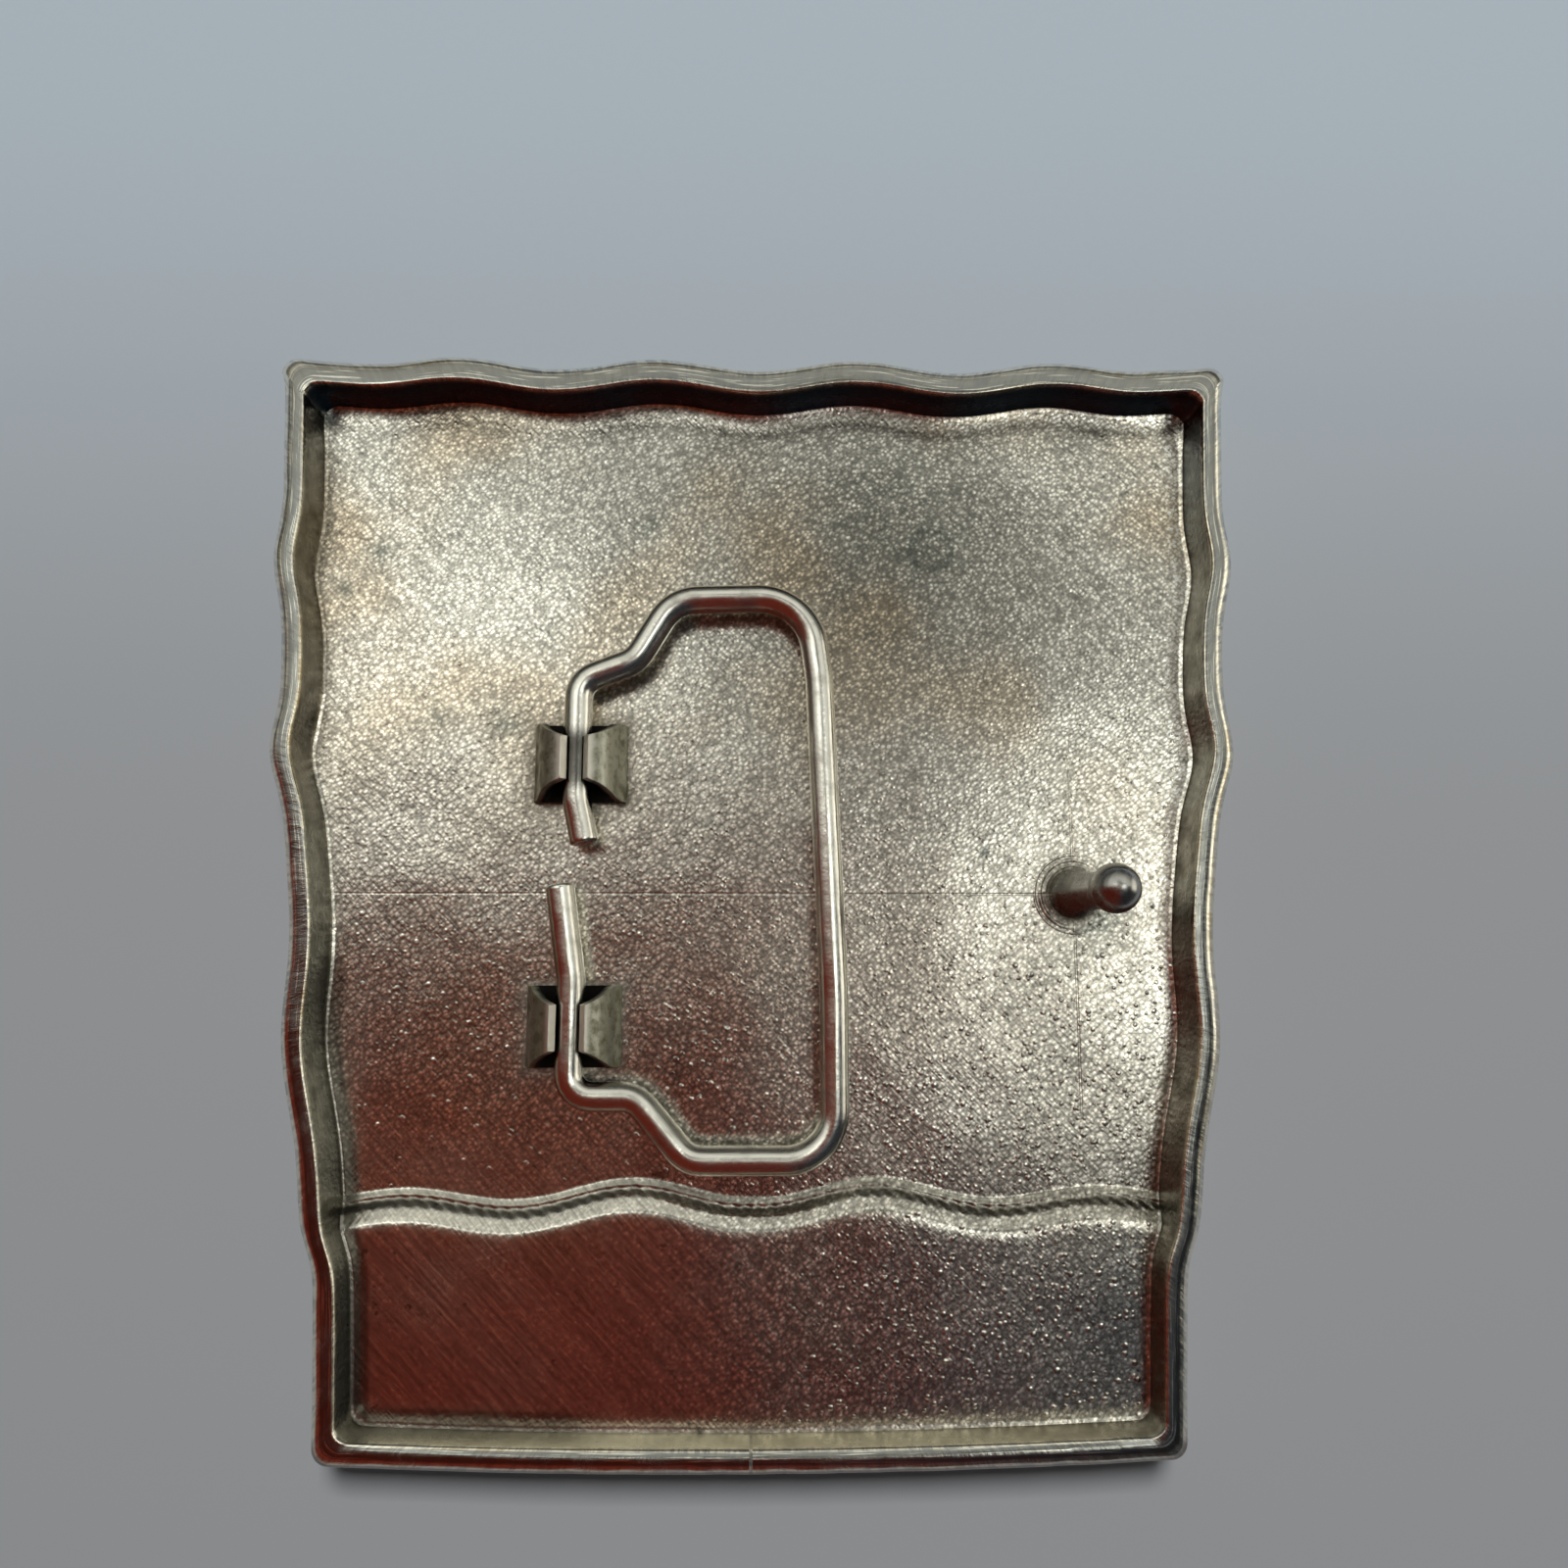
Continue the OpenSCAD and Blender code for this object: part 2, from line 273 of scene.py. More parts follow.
@dataclass
class PlateShape:
    """Outline and levels of the plate, in millimetres, as in the part's source."""

    half_h: float = 41.65
    rim_z: float = 6.2
    upper_z: float = 2.2
    lower_z: float = 3.4
    field_z: float = 0.7
    band_z: float = 1.9
    side_mid: float = 35.6
    side_taper: float = 0.052
    top_wave: float = 0.47
    top_pitch: float = 16.0
    top_lift: float = 0.38
    bottom_bow: float = 0.77
    corner_r: float = 1.2
    side_bumps: tuple = ((43, 2.4, 0.9), (24.5, 3.25, 0.7), (9.5, 3.3, 0.9), (-12.25, 6.25, 1.25))
    side_steps_in: tuple = ((-2, 9, 1.82), (-26.4, 1.65, 1.07))

    @classmethod
    def from_frame(cls) -> "PlateShape":
        """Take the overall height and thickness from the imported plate."""
        low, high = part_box("plate")
        return cls(half_h=-low.y / MM, rim_z=high.z / MM)

    def side(self, y: Array) -> Array:
        """Distance of the side from the middle line: a taper, four bumps and two steps in.

        Args:
            y: Places up the plate.

        Returns:
            mid + taper * y, plus a bell for each bump, less a smooth step for each step in.
        """
        y = np.asarray(y, float)
        out = self.side_mid + self.side_taper * y
        for place, spread, height in self.side_bumps:
            out = out + height * np.exp(-((y - place) / spread) ** 2)
        for place, spread, amount in self.side_steps_in:
            out = out - amount / (1 + np.exp(-2 * (place - y) / spread))
        return out

    def top(self, x: Array) -> Array:
        """Height of the top edge, a cosine whose troughs at the corners are shallower.

        Args:
            x: Places across the plate.

        Returns:
            half height - wave * (1 + cos(2 pi x / pitch)) + a bell-shaped lift at the outer
            troughs.
        """
        x = np.asarray(x, float)
        wave = np.cos(2 * np.pi * x / self.top_pitch)
        lift = self.top_lift * np.exp(-((np.abs(x) - 2 * self.top_pitch - 1) / 3.3) ** 2)
        return self.half_h - self.top_wave - self.top_wave * wave + lift

    def bottom(self, x: Array) -> Array:
        """Height of the bottom edge, a shallow parabola."""
        return -self.half_h + self.bottom_bow * (np.asarray(x, float) / self.side(-self.half_h)) ** 2

    def plateau(self, x: Array) -> Array:
        """Line where the lower floor starts to rise, a wave that dies down outwards.

        Args:
            x: Places across the plate.

        Returns:
            -23 - 0.0007 x^2 + (0.75 - 0.0004 x^2) * cos(2 pi (|x| - 9.2) / 17.4).
        """
        x = np.clip(np.asarray(x, float), -self.side_mid, self.side_mid)
        wave = np.cos(2 * np.pi * (np.abs(x) - 9.2) / 17.4)
        return -23 - 0.0007 * x * x + (0.75 - 0.0004 * x * x) * wave

    def rings(self, inset: Array, steps: int) -> Array:
        """Closed outlines moved in by each inset, point for point alike.

        The right half runs along the bottom, round a corner, up the side, round a
        corner and along the top; the left half is its mirror image.

        Args:
            inset: How far each ring lies inside the outline.
            steps: Points along one side; the edges have as many over their width.

        Returns:
            Points shaped (rings, points round, 2).
        """
        d = np.asarray(inset, float)[:, None]
        r = self.corner_r
        y1 = self.bottom(self.side(-self.half_h)) + d + r
        x1 = self.side(y1) - d - r
        y2 = self.top(self.side(self.half_h)) - d - r
        x2 = self.side(y2) - d - r
        t = np.linspace(0, 1, steps // 2, endpoint=False)[None]
        x_low = x1 * t
        turn = np.linspace(-np.pi / 2, 0, 9)[None]
        y_side = y1 + (y2 - y1) * np.linspace(0, 1, steps + 1)[None, 1:-1]
        turn_up = np.linspace(0, np.pi / 2, 9)[None]
        x_top = x2 * (1 - np.linspace(0, 1, steps // 2 + 1)[None, 1:])
        corner_low = self.bottom(x1) + d + r
        corner_top = self.top(x2) - d - r
        x = np.concatenate([x_low, x1 + r * np.cos(turn), self.side(y_side) - d,
                            x2 + r * np.cos(turn_up), x_top], 1)
        y = np.concatenate([self.bottom(x_low) + d, corner_low + r * np.sin(turn), y_side,
                            corner_top + r * np.sin(turn_up), self.top(x_top) - d], 1)
        half = np.stack([x, y], -1)
        mirror = half[:, -2:0:-1] * np.array([-1, 1])
        return np.concatenate([half, mirror], 1)

    def wall_distance(self, x: Array, y: Array, inset: float) -> Array:
        """Distance inwards from the outline moved in by inset, with its round corners.

        Args:
            x: Places across the plate, in millimetres.
            y: Places up the plate.
            inset: How far inside the outline the wall stands.

        Returns:
            The lesser of the distances from the side and from the nearer edge, rounded in the
            corners.
        """
        dx = self.side(y) - np.abs(x) - inset
        dy = np.minimum(self.top(x) - y, y - self.bottom(x)) - inset
        r = self.corner_r
        inner = r - np.hypot(np.maximum(r - dx, 0), np.maximum(r - dy, 0))
        return np.where((dx < r) & (dy < r), inner, np.minimum(dx, dy))

    def floor_grid(self, inset: float, rows: tuple[int, int, int], cols: int, before: float,
                   after: float) -> tuple[Array, Array]:
        """Grid over the tray whose rows follow its edges and the plateau's line.

        Rows run from the bottom edge to the plateau's line less after, to the line plus
        before, and to the top edge; columns share out the width of each row.

        Args:
            inset: How far inside the outline the grid's border lies.
            rows: Steps below the line, across it and above it.
            cols: Steps across the width.
            before: Reach of the middle rows above the line.
            after: Their reach below it.

        Returns:
            The grid's x and y.
        """
        u = np.linspace(-1, 1, cols + 1)[None]
        parts = [np.linspace(k, k + 1, n, endpoint=False) for k, n in enumerate(rows)]
        v = np.concatenate(parts + [[3.0]])[:, None]
        x = u * self.side_mid + 0 * v
        for _ in range(4):
            levels = np.stack([self.bottom(x) + inset, self.plateau(x) - after,
                               self.plateau(x) + before, self.top(x) - inset])
            k = np.clip(np.floor(v).astype(int), 0, 2)
            part = v - k
            low = np.take_along_axis(levels, np.broadcast_to(k, x.shape)[None], 0)[0]
            high = np.take_along_axis(levels, np.broadcast_to(k + 1, x.shape)[None], 0)[0]
            y = low + (high - low) * part
            x = u * (self.side(y) - inset)
        return x, y


def slab(x: Array, y: Array, z: Array, back_z: float) -> tuple[Array, list[Array]]:
    """Close a height field into a slab with a flat back.

    Args:
        x: First coordinates of the grid.
        y: Second coordinates.
        z: Heights of the shaped face.
        back_z: Height of the flat back.

    Returns:
        The points and the faces of the closed slab.
    """
    rows, cols = z.shape
    number = np.arange(rows * cols).reshape(rows, cols)
    border = np.concatenate([number[0, :-1], number[:-1, -1], number[-1, :0:-1], number[:0:-1, 0]])
    face = np.stack([x, y, z], -1).reshape(-1, 3)
    back = face[border].copy()
    back[:, 2] = back_z
    middle = np.array([[0.0, 0.0, back_z]])
    n = len(border)
    j = np.arange(n)
    j2 = (j + 1) % n
    first = rows * cols
    wall = np.stack([border[j2], border[j], first + j, first + j2], -1)
    fan = np.stack([first + j2, first + j, np.full(n, first + n)], -1)
    return np.concatenate([face, back, middle]), [grid_quads(rows, cols), wall, fan]


# ---------------------------------------------------------------- finishes


@dataclass
class Graph:
    """Node tree of a material or of the world, with short calls for its usual nodes."""

    tree: bpy.types.NodeTree

    def put(self, socket: bpy.types.NodeSocket, value: object) -> None:
        """Link a socket to an input, or set a number or a colour on it.

        Args:
            socket: The input to fill.
            value: Another node's output, a number, a vector or a colour.
        """
        if isinstance(value, bpy.types.NodeSocket):
            self.tree.links.new(value, socket)
        elif socket.type == "RGBA":
            socket.default_value = (*value, 1.0)
        else:
            socket.default_value = value

    def add(self, kind: str, inputs: dict | None = None, **settings: object) -> bpy.types.Node:
        """Add a shader node, set its properties and fill its inputs.

        Args:
            kind: Node type without its ShaderNode prefix.
            inputs: Values or sockets by the input's name or number.
            settings: Properties of the node.

        Returns:
            The new node.
        """
        node = self.tree.nodes.new("ShaderNode" + kind)
        for key, value in settings.items():
            setattr(node, key, value)
        for key, value in (inputs or {}).items():
            self.put(node.inputs[key], value)
        return node

    def math(self, operation: str, *values: object, clamp: bool = False) -> bpy.types.NodeSocket:
        """Result of a Math node."""
        node = self.add("Math", dict(enumerate(values)), operation=operation, use_clamp=clamp)
        return node.outputs[0]

    def times(self, first: object, *others: object) -> bpy.types.NodeSocket:
        """Product of two or more values.

        Args:
            first: First factor.
            others: The other factors.

        Returns:
            The product.
        """
        for other in others:
            first = self.math("MULTIPLY", first, other)
        return first

    def plus(self, first: object, second: object, clamp: bool = False) -> bpy.types.NodeSocket:
        """Sum of two values."""
        return self.math("ADD", first, second, clamp=clamp)

    def minus(self, first: object, second: object) -> bpy.types.NodeSocket:
        """Difference of two values."""
        return self.math("SUBTRACT", first, second)

    def rise(self, value: object, start: float, end: float, low: float = 0.0,
             high: float = 1.0) -> bpy.types.NodeSocket:
        """Smooth change from low at start to high at end."""
        inputs = {"Value": value, "From Min": start, "From Max": end, "To Min": low, "To Max": high}
        return self.add("MapRange", inputs, interpolation_type="SMOOTHSTEP").outputs[0]

    def mix(self, factor: object, first: object, second: object,
            blend: str = "MIX") -> bpy.types.NodeSocket:
        """Blend of two colours."""
        inputs = {"Fac": factor, "Color1": first, "Color2": second}
        return self.add("MixRGB", inputs, blend_type=blend).outputs[0]

    def noise(self, place: object, scale: float, detail: float = 2.0,
              rough: float = 0.5) -> bpy.types.NodeSocket:
        """Cloudy noise, from 0 to 1, with so many features per unit of the place."""
        inputs = {"Vector": place, "Scale": scale, "Detail": detail, "Roughness": rough}
        return self.add("TexNoise", inputs).outputs["Fac"]

    def attribute(self, name: str) -> bpy.types.NodeSocket:
        """Number kept on the mesh's points."""
        return self.add("Attribute", attribute_name=name).outputs["Fac"]

    def millimetres(self) -> bpy.types.NodeSocket:
        """Place on the object, in millimetres."""
        return self.stretched(self.add("TexCoord").outputs["Object"], (1 / MM, 1 / MM, 1 / MM))

    def turned(self, place: object, degrees: float, stretch: tuple) -> bpy.types.NodeSocket:
        """Place turned about the vertical, then stretched along its new axes.

        Args:
            place: Place to turn.
            degrees: Angle of the turn.
            stretch: Scale along each new axis.

        Returns:
            The new place.
        """
        inputs = {"Vector": place, "Rotation": (0, 0, math.radians(degrees))}
        return self.stretched(self.add("Mapping", inputs).outputs[0], stretch)

    def stretched(self, place: object, scale: tuple) -> bpy.types.NodeSocket:
        """Place scaled along each of its axes."""
        return self.add("Mapping", {"Vector": place, "Scale": scale}).outputs[0]

    def run(self) -> bpy.types.NodeSocket:
        """Travel along a sweep and place across it, as kept on the points."""
        return self.add("Attribute", attribute_name="run").outputs["Vector"]

    def axis(self, place: object, number: int) -> bpy.types.NodeSocket:
        """One coordinate of a place, or one channel of a colour."""
        return self.add("SeparateXYZ", {0: place}).outputs[number]

    def grey(self, level: object) -> bpy.types.NodeSocket:
        """Grey of a level."""
        return self.add("CombineXYZ", {0: level, 1: level, 2: level}).outputs[0]


@dataclass(frozen=True)
class Finish:
    """Metal finish: what all of them share is a base metal, a roughness and a relief."""

    name: str
    colour: Colour
    rough: float

    def build(self) -> bpy.types.Material:
        """Make the material with its nodes.

        Returns:
            The material.
        """
        material = bpy.data.materials.new(self.name)
        material.use_nodes = True
        tree = material.node_tree
        tree.nodes.clear()
        graph = Graph(tree)
        shader = graph.add("BsdfPrincipled", {"Metallic": 1.0, "Base Color": self.colour,
                                              "Roughness": self.rough})
        out = graph.add("OutputMaterial")
        graph.put(out.inputs["Surface"], shader.outputs[0])
        self.detail(graph, shader)
        return material

    def detail(self, graph: Graph, shader: bpy.types.Node) -> None:
        """Add colour, roughness and relief to the plain metal."""

    def relief(self, graph: Graph, shader: bpy.types.Node, *layers: tuple) -> None:
        """Stack bumps on the shader's normal.

        Args:
            graph: Tree being built.
            shader: Shader that takes the normal.
            layers: Pairs of a height socket and the depth of its full swing in millimetres.
        """
        normal = None
        for height, depth in layers:
            bump = graph.add("Bump", {"Height": height, "Strength": 1.0, "Distance": depth * MM})
            if normal is not None:
                graph.put(bump.inputs["Normal"], normal)
            normal = bump.outputs[0]
        graph.put(shader.inputs["Normal"], normal)


@dataclass(frozen=True)
class CastNickel(Finish):
    """Plated casting: pebbled grain, slanting file marks, tarnish, specks and scribed lines."""

    stud: tuple = STUD

    def scribed(self, graph: Graph, place: object) -> bpy.types.NodeSocket:
        """Two fine lines that cross at the stud, 1 on a line and 0 beside it.

        Args:
            graph: Tree being built.
            place: Place on the piece in millimetres.

        Returns:
            The greater of the two lines' weights.
        """
        x, y = graph.axis(place, 0), graph.axis(place, 1)
        off_x = graph.math("ABSOLUTE", graph.minus(x, self.stud[0]))
        off_y = graph.math("ABSOLUTE", graph.minus(y, self.stud[1] - 0.02))
        up = graph.times(graph.rise(off_x, 0.04, 0.12, 1, 0), graph.rise(y, -19, -16),
                         graph.rise(y, 8, 12, 1, 0))
        along = graph.times(graph.rise(off_y, 0.04, 0.12, 1, 0), graph.rise(x, -16, 6, 0.4),
                            graph.rise(x, 22, 25, 1, 0))
        return graph.math("MAXIMUM", up, along)

    @staticmethod
    def cells(graph: Graph, place: object, pitch: float) -> tuple:
        """Distance from the nearest of the strewn grains, in pitches, and that grain's own number.

        Args:
            graph: Tree being built.
            place: Place in millimetres, turned and stretched.
            pitch: Spacing of the grains.

        Returns:
            The distance and the number, from 0 to 1.
        """
        inputs = {"Vector": place, "Scale": 1 / pitch, "Randomness": 0.85}
        cell = graph.add("TexVoronoi", inputs, feature="F1")
        return cell.outputs["Distance"], graph.axis(cell.outputs["Color"], 0)

    @staticmethod
    def tone(graph: Graph, grain: tuple, fine: object, marks: object) -> bpy.types.NodeSocket:
        """Brightness of the grains: each has its own, is painted darker toward its rim as shading of a dome,
        is crossed by streaks, and takes the painted light beside the walls.

        Args:
            graph: Tree being built.
            grain: Distance from the grain's middle, and the grain's own number.
            fine: Fine cloudy noise.
            marks: Noise drawn out along the file marks.

        Returns:
            Factor on the base colour, about 1 on average.
        """
        reach, share = grain
        # The reach factor paints shade: each grain lighter in its middle and darker at its rim.
        tone = graph.times(graph.rise(share, 0.05, 0.95, 0.78, 1.26),
                           graph.rise(reach, 0.08, 0.62, 1.36, 0.60), graph.rise(fine, 0.3, 0.7, 0.78, 1.24))
        grown = graph.rise(graph.attribute("crowd"), 0.0, 0.45, 0.2, 1.0)
        tone = graph.plus(graph.times(graph.minus(tone, 1.0), grown), 1.0)
        combed = graph.rise(graph.attribute("combed"), 0.0, 1.0, 0.25, 1.5)
        streak = graph.plus(graph.times(graph.minus(marks, 0.5), combed), 1.0)
        # Painted light beside the walls: brighter at the right, and painted shade, duller, at the lower
        # left.
        painted_wall_light = graph.attribute("painted_wall_light")
        return graph.times(tone, streak, graph.rise(painted_wall_light, 0.0, 1.0, 1.0, 1.42),
                           graph.rise(painted_wall_light, -1.0, 0.0, 0.45, 1.0))

    def tarnish(self, graph: Graph, place: object, cloud: object) -> bpy.types.NodeSocket:
        """Base metal with golden and grey clouds and the stains kept on the points.

        Args:
            graph: Tree being built.
            place: Place on the piece in millimetres.
            cloud: Broad cloudy noise.

        Returns:
            The colour before grain, dirt and painted shade.
        """
        gold = graph.rise(graph.noise(place, 0.055, 2.0), 0.44, 0.66, 0, 0.75)
        gold = graph.times(gold, graph.rise(graph.axis(place, 1), 0, 24, 0.15, 1))
        colour = graph.mix(gold, self.colour, (0.64, 0.50, 0.34))
        colour = graph.mix(graph.rise(cloud, 0.52, 0.75, 0, 0.45), colour, (0.40, 0.38, 0.34))
        return graph.mix(graph.attribute("stain"), colour, (0.10, 0.14, 0.13))

    def detail(self, graph: Graph, shader: bpy.types.Node) -> None:
        """Tarnish and specks on the colour, blisters, grain and file marks in the relief.

        Args:
            graph: Tree being built.
            shader: Shader of the metal.
        """
        place = graph.millimetres()
        cloud = graph.noise(place, 0.06, 3.0, 0.6)
        reach, share = self.cells(graph, graph.turned(place, 45, (0.9, 1.1, 1)), 0.46)
        blister = graph.times(graph.rise(reach, 0.05, 0.40, 1.0, 0.0), graph.rise(share, 0.2, 0.9),
                              graph.attribute("crowd"))
        grain = self.cells(graph, graph.turned(place, 50, (1.15, 0.87, 1)), 0.35)
        marks = graph.noise(graph.turned(place, 45, (0.24, 4.4, 1)), 1.0, 3.0, 0.6)
        tone = self.tone(graph, grain, graph.noise(place, 4.5, 1.0), marks)
        speck = graph.noise(place, 0.8, 4.0, 0.75)
        speck = graph.plus(speck, graph.rise(graph.attribute("combed"), 0.3, 1.0, 0.0, 0.035))
        # Dirt, and painted shade in the step's pits and round the stud's foot, darken the colour by the
        # weight kept on the points.
        dirt_and_shade = graph.attribute("dirt_and_shade")
        colour = graph.mix(1.0, self.tarnish(graph, place, cloud), graph.grey(tone), "MULTIPLY")
        colour = graph.mix(graph.rise(speck, 0.66, 0.74, 0, 0.8), colour, (0.09, 0.10, 0.08))
        graph.put(shader.inputs["Base Color"], graph.mix(dirt_and_shade, colour, DIRT_AND_SHADE))
        rough = graph.rise(cloud, 0.35, 0.75, self.rough, self.rough + 0.08)
        rough = graph.plus(rough, graph.times(dirt_and_shade, 0.25), clamp=True)
        graph.put(shader.inputs["Roughness"], rough)
        scribed = graph.times(self.scribed(graph, place), -1.0)
        self.relief(graph, shader, (blister, 0.022), (grain[0], -0.008), (marks, 0.012), (scribed, 0.02))


@dataclass(frozen=True)
class PolishedRim(Finish):
    """Buffed nickel with fine file streaks on the rim, going dull and olive down the wall."""

    wall: Colour = (0.23, 0.215, 0.175)

    def detail(self, graph: Graph, shader: bpy.types.Node) -> None:
        """Blend from the buffed rim to the dull wall by the depth kept on the points.

        Args:
            graph: Tree being built.
            shader: Shader of the metal.
        """
        place = graph.millimetres()
        run = graph.run()
        deep = graph.attribute("wall")
        streaks = graph.noise(graph.stretched(run, (0.25, 9, 9)), 1.0, 3.0)
        ticks = graph.noise(graph.stretched(run, (2.4, 0.6, 0.6)), 1.0, 3.0, 0.6)
        blot = graph.noise(place, 0.55, 3.0, 0.6)
        colour = graph.mix(deep, self.crown(graph, run, streaks, ticks), self.side(graph, blot))
        graph.put(shader.inputs["Base Color"], colour)
        rough = graph.rise(blot, 0.35, 0.75, self.rough, self.rough + 0.14)
        rough = graph.plus(rough, graph.times(deep, 0.10), clamp=True)
        graph.put(shader.inputs["Roughness"], rough)
        grain = graph.times(graph.noise(place, 2.4, 2.0), deep)
        self.relief(graph, shader, (streaks, 0.012), (ticks, 0.026), (grain, 0.05))

    def side(self, graph: Graph, blot: object) -> bpy.types.NodeSocket:
        """Colour down the wall: olive with dark blots, painted shade toward the top edge and the upper
        right, and painted light, golden cream, along the foot.

        Args:
            graph: Tree being built.
            blot: Cloudy noise.

        Returns:
            The colour.
        """
        wall = graph.mix(graph.rise(blot, 0.45, 0.72, 0, 0.7), self.wall, DIRT_AND_SHADE)
        # Painted shade on the top wall and the upper right wall.
        wall = graph.mix(graph.attribute("painted_wall_shade"), wall, (0.05, 0.09, 0.13))
        # Painted light: the wall along the foot edge is painted cream where light falls on it.
        return graph.mix(graph.times(graph.attribute("bright"), 0.9), wall, (0.84, 0.77, 0.59))

    def crown(self, graph: Graph, run: object, streaks: object, ticks: object) -> bpy.types.NodeSocket:
        """Colour of the rim: worn golden shoulders with bright ticks, a grey flat between them, and a
        painted dark reflection on the outer shoulder along the foot edge.

        Args:
            graph: Tree being built.
            run: Travel along the rim, inset and height, as kept on the points.
            streaks: Noise drawn out along the rim.
            ticks: Noise in short strokes across it.

        Returns:
            The colour.
        """
        inset, height = graph.axis(run, 1), graph.axis(run, 2)
        worn = graph.noise(graph.stretched(run, (0.09, 1.3, 1.3)), 1.0, 3.0, 0.6)
        crown = graph.mix(graph.rise(worn, 0.5, 0.62, 0, 0.75), self.colour, (0.72, 0.58, 0.36))
        crown = graph.mix(graph.rise(worn, 0.36, 0.46, 0.6, 0), crown, (0.34, 0.35, 0.35))
        crown = graph.mix(graph.rise(ticks, 0.44, 0.56, 0, 0.85), crown, (1.0, 0.95, 0.80))
        lines = graph.mix(graph.rise(streaks, 0.56, 0.68, 0, 0.8), (0.22, 0.225, 0.22), (0.92, 0.90, 0.82))
        flat = graph.times(graph.rise(inset, 0.8, 1.05), graph.rise(inset, 1.7, 1.84, 1, 0), 0.9)
        crown = graph.mix(flat, crown, lines)
        # Painted reflection: the outer shoulder along the foot edge is painted dark red-brown.
        under = graph.times(graph.attribute("bright"), graph.rise(inset, 0.3, 0.6, 0.85, 0),
                            graph.rise(height, 5.0, 5.5))
        return graph.mix(under, crown, (0.17, 0.11, 0.10))


@dataclass(frozen=True)
class DrawnWire(Finish):
    """Satin wire with fine lines along it and small nicks."""

    def detail(self, graph: Graph, shader: bpy.types.Node) -> None:
        """Lines along the wire, dull patches, and painted shade on the stretch under the upper keeper.

        Args:
            graph: Tree being built.
            shader: Shader of the metal.
        """
        place = graph.millimetres()
        lines = graph.noise(graph.stretched(graph.run(), (0.35, 14, 14)), 1.0, 2.0)
        nicks = graph.noise(place, 1.6, 3.0, 0.65)
        patch = graph.noise(place, 0.35, 3.0, 0.6)
        dull = graph.rise(patch, 0.5, 0.75, 0, 0.5)
        colour = graph.mix(dull, self.colour, (0.33, 0.32, 0.26))
        # Painted shade under the upper keeper.
        colour = graph.mix(graph.attribute("shade"), colour, (0.02, 0.018, 0.016))
        graph.put(shader.inputs["Base Color"], colour)
        graph.put(shader.inputs["Roughness"], graph.rise(patch, 0.35, 0.7, self.rough, self.rough + 0.1))
        self.relief(graph, shader, (lines, 0.008), (nicks, 0.016))


@dataclass(frozen=True)
class DullStrip(Finish):
    """Grey-green plated strip, matt where flux has dried on it."""

    def detail(self, graph: Graph, shader: bpy.types.Node) -> None:
        """Mottled colour, painted shade inside the strip, a painted highlight on the ears' tips, and a fine
        rolled grain along the strip.

        Args:
            graph: Tree being built.
            shader: Shader of the metal.
        """
        place = graph.millimetres()
        mottle = graph.noise(place, 0.9, 4.0, 0.65)
        rolled = graph.noise(graph.turned(place, 0, (6, 0.5, 6)), 1.0, 2.0)
        colour = graph.mix(graph.rise(mottle, 0.42, 0.68), self.colour, (0.24, 0.23, 0.16))
        # Painted shade: the inner face of the strip is painted near black.
        colour = graph.mix(graph.rise(graph.attribute("hollow"), 0.2, 0.9), colour, (0.012, 0.011, 0.010))
        # Painted highlight on the ears' tips.
        colour = graph.mix(graph.rise(graph.attribute("painted_tip_highlight"), 0.3, 0.9), colour, (0.85, 0.82, 0.74))
        graph.put(shader.inputs["Base Color"], colour)
        graph.put(shader.inputs["Roughness"], graph.rise(mottle, 0.35, 0.7, self.rough, self.rough + 0.2))
        self.relief(graph, shader, (rolled, 0.012), (graph.noise(place, 3.5, 2.0), 0.018))


@dataclass(frozen=True)
class TurnedMetal(Finish):
    """Turned and polished metal with faint rings round the lathe's axis."""

    def detail(self, graph: Graph, shader: bpy.types.Node) -> None:
        """Tool rings by the height kept on the points, and painted shade toward the foot.

        Args:
            graph: Tree being built.
            shader: Shader of the metal.
        """
        place = graph.millimetres()
        level = graph.attribute("level")
        rings = graph.noise(graph.add("CombineXYZ", {"X": graph.times(level, 7.0)}).outputs[0], 1.0, 2.0)
        smut = graph.noise(place, 1.0, 3.0, 0.6)
        # Painted shade: darker toward the foot, near the floor; the smut patches are dirt.
        low = graph.rise(level, 0.0, 2.6, 0.6, 0.0)
        dark = graph.plus(low, graph.rise(smut, 0.5, 0.75, 0, 0.35), clamp=True)
        graph.put(shader.inputs["Base Color"], graph.mix(dark, self.colour, (0.16, 0.15, 0.13)))
        graph.put(shader.inputs["Roughness"], graph.rise(smut, 0.35, 0.7, self.rough, self.rough + 0.12))
        self.relief(graph, shader, (rings, 0.012), (graph.noise(place, 4.0, 2.0), 0.006))


# ---------------------------------------------------------------- the plate


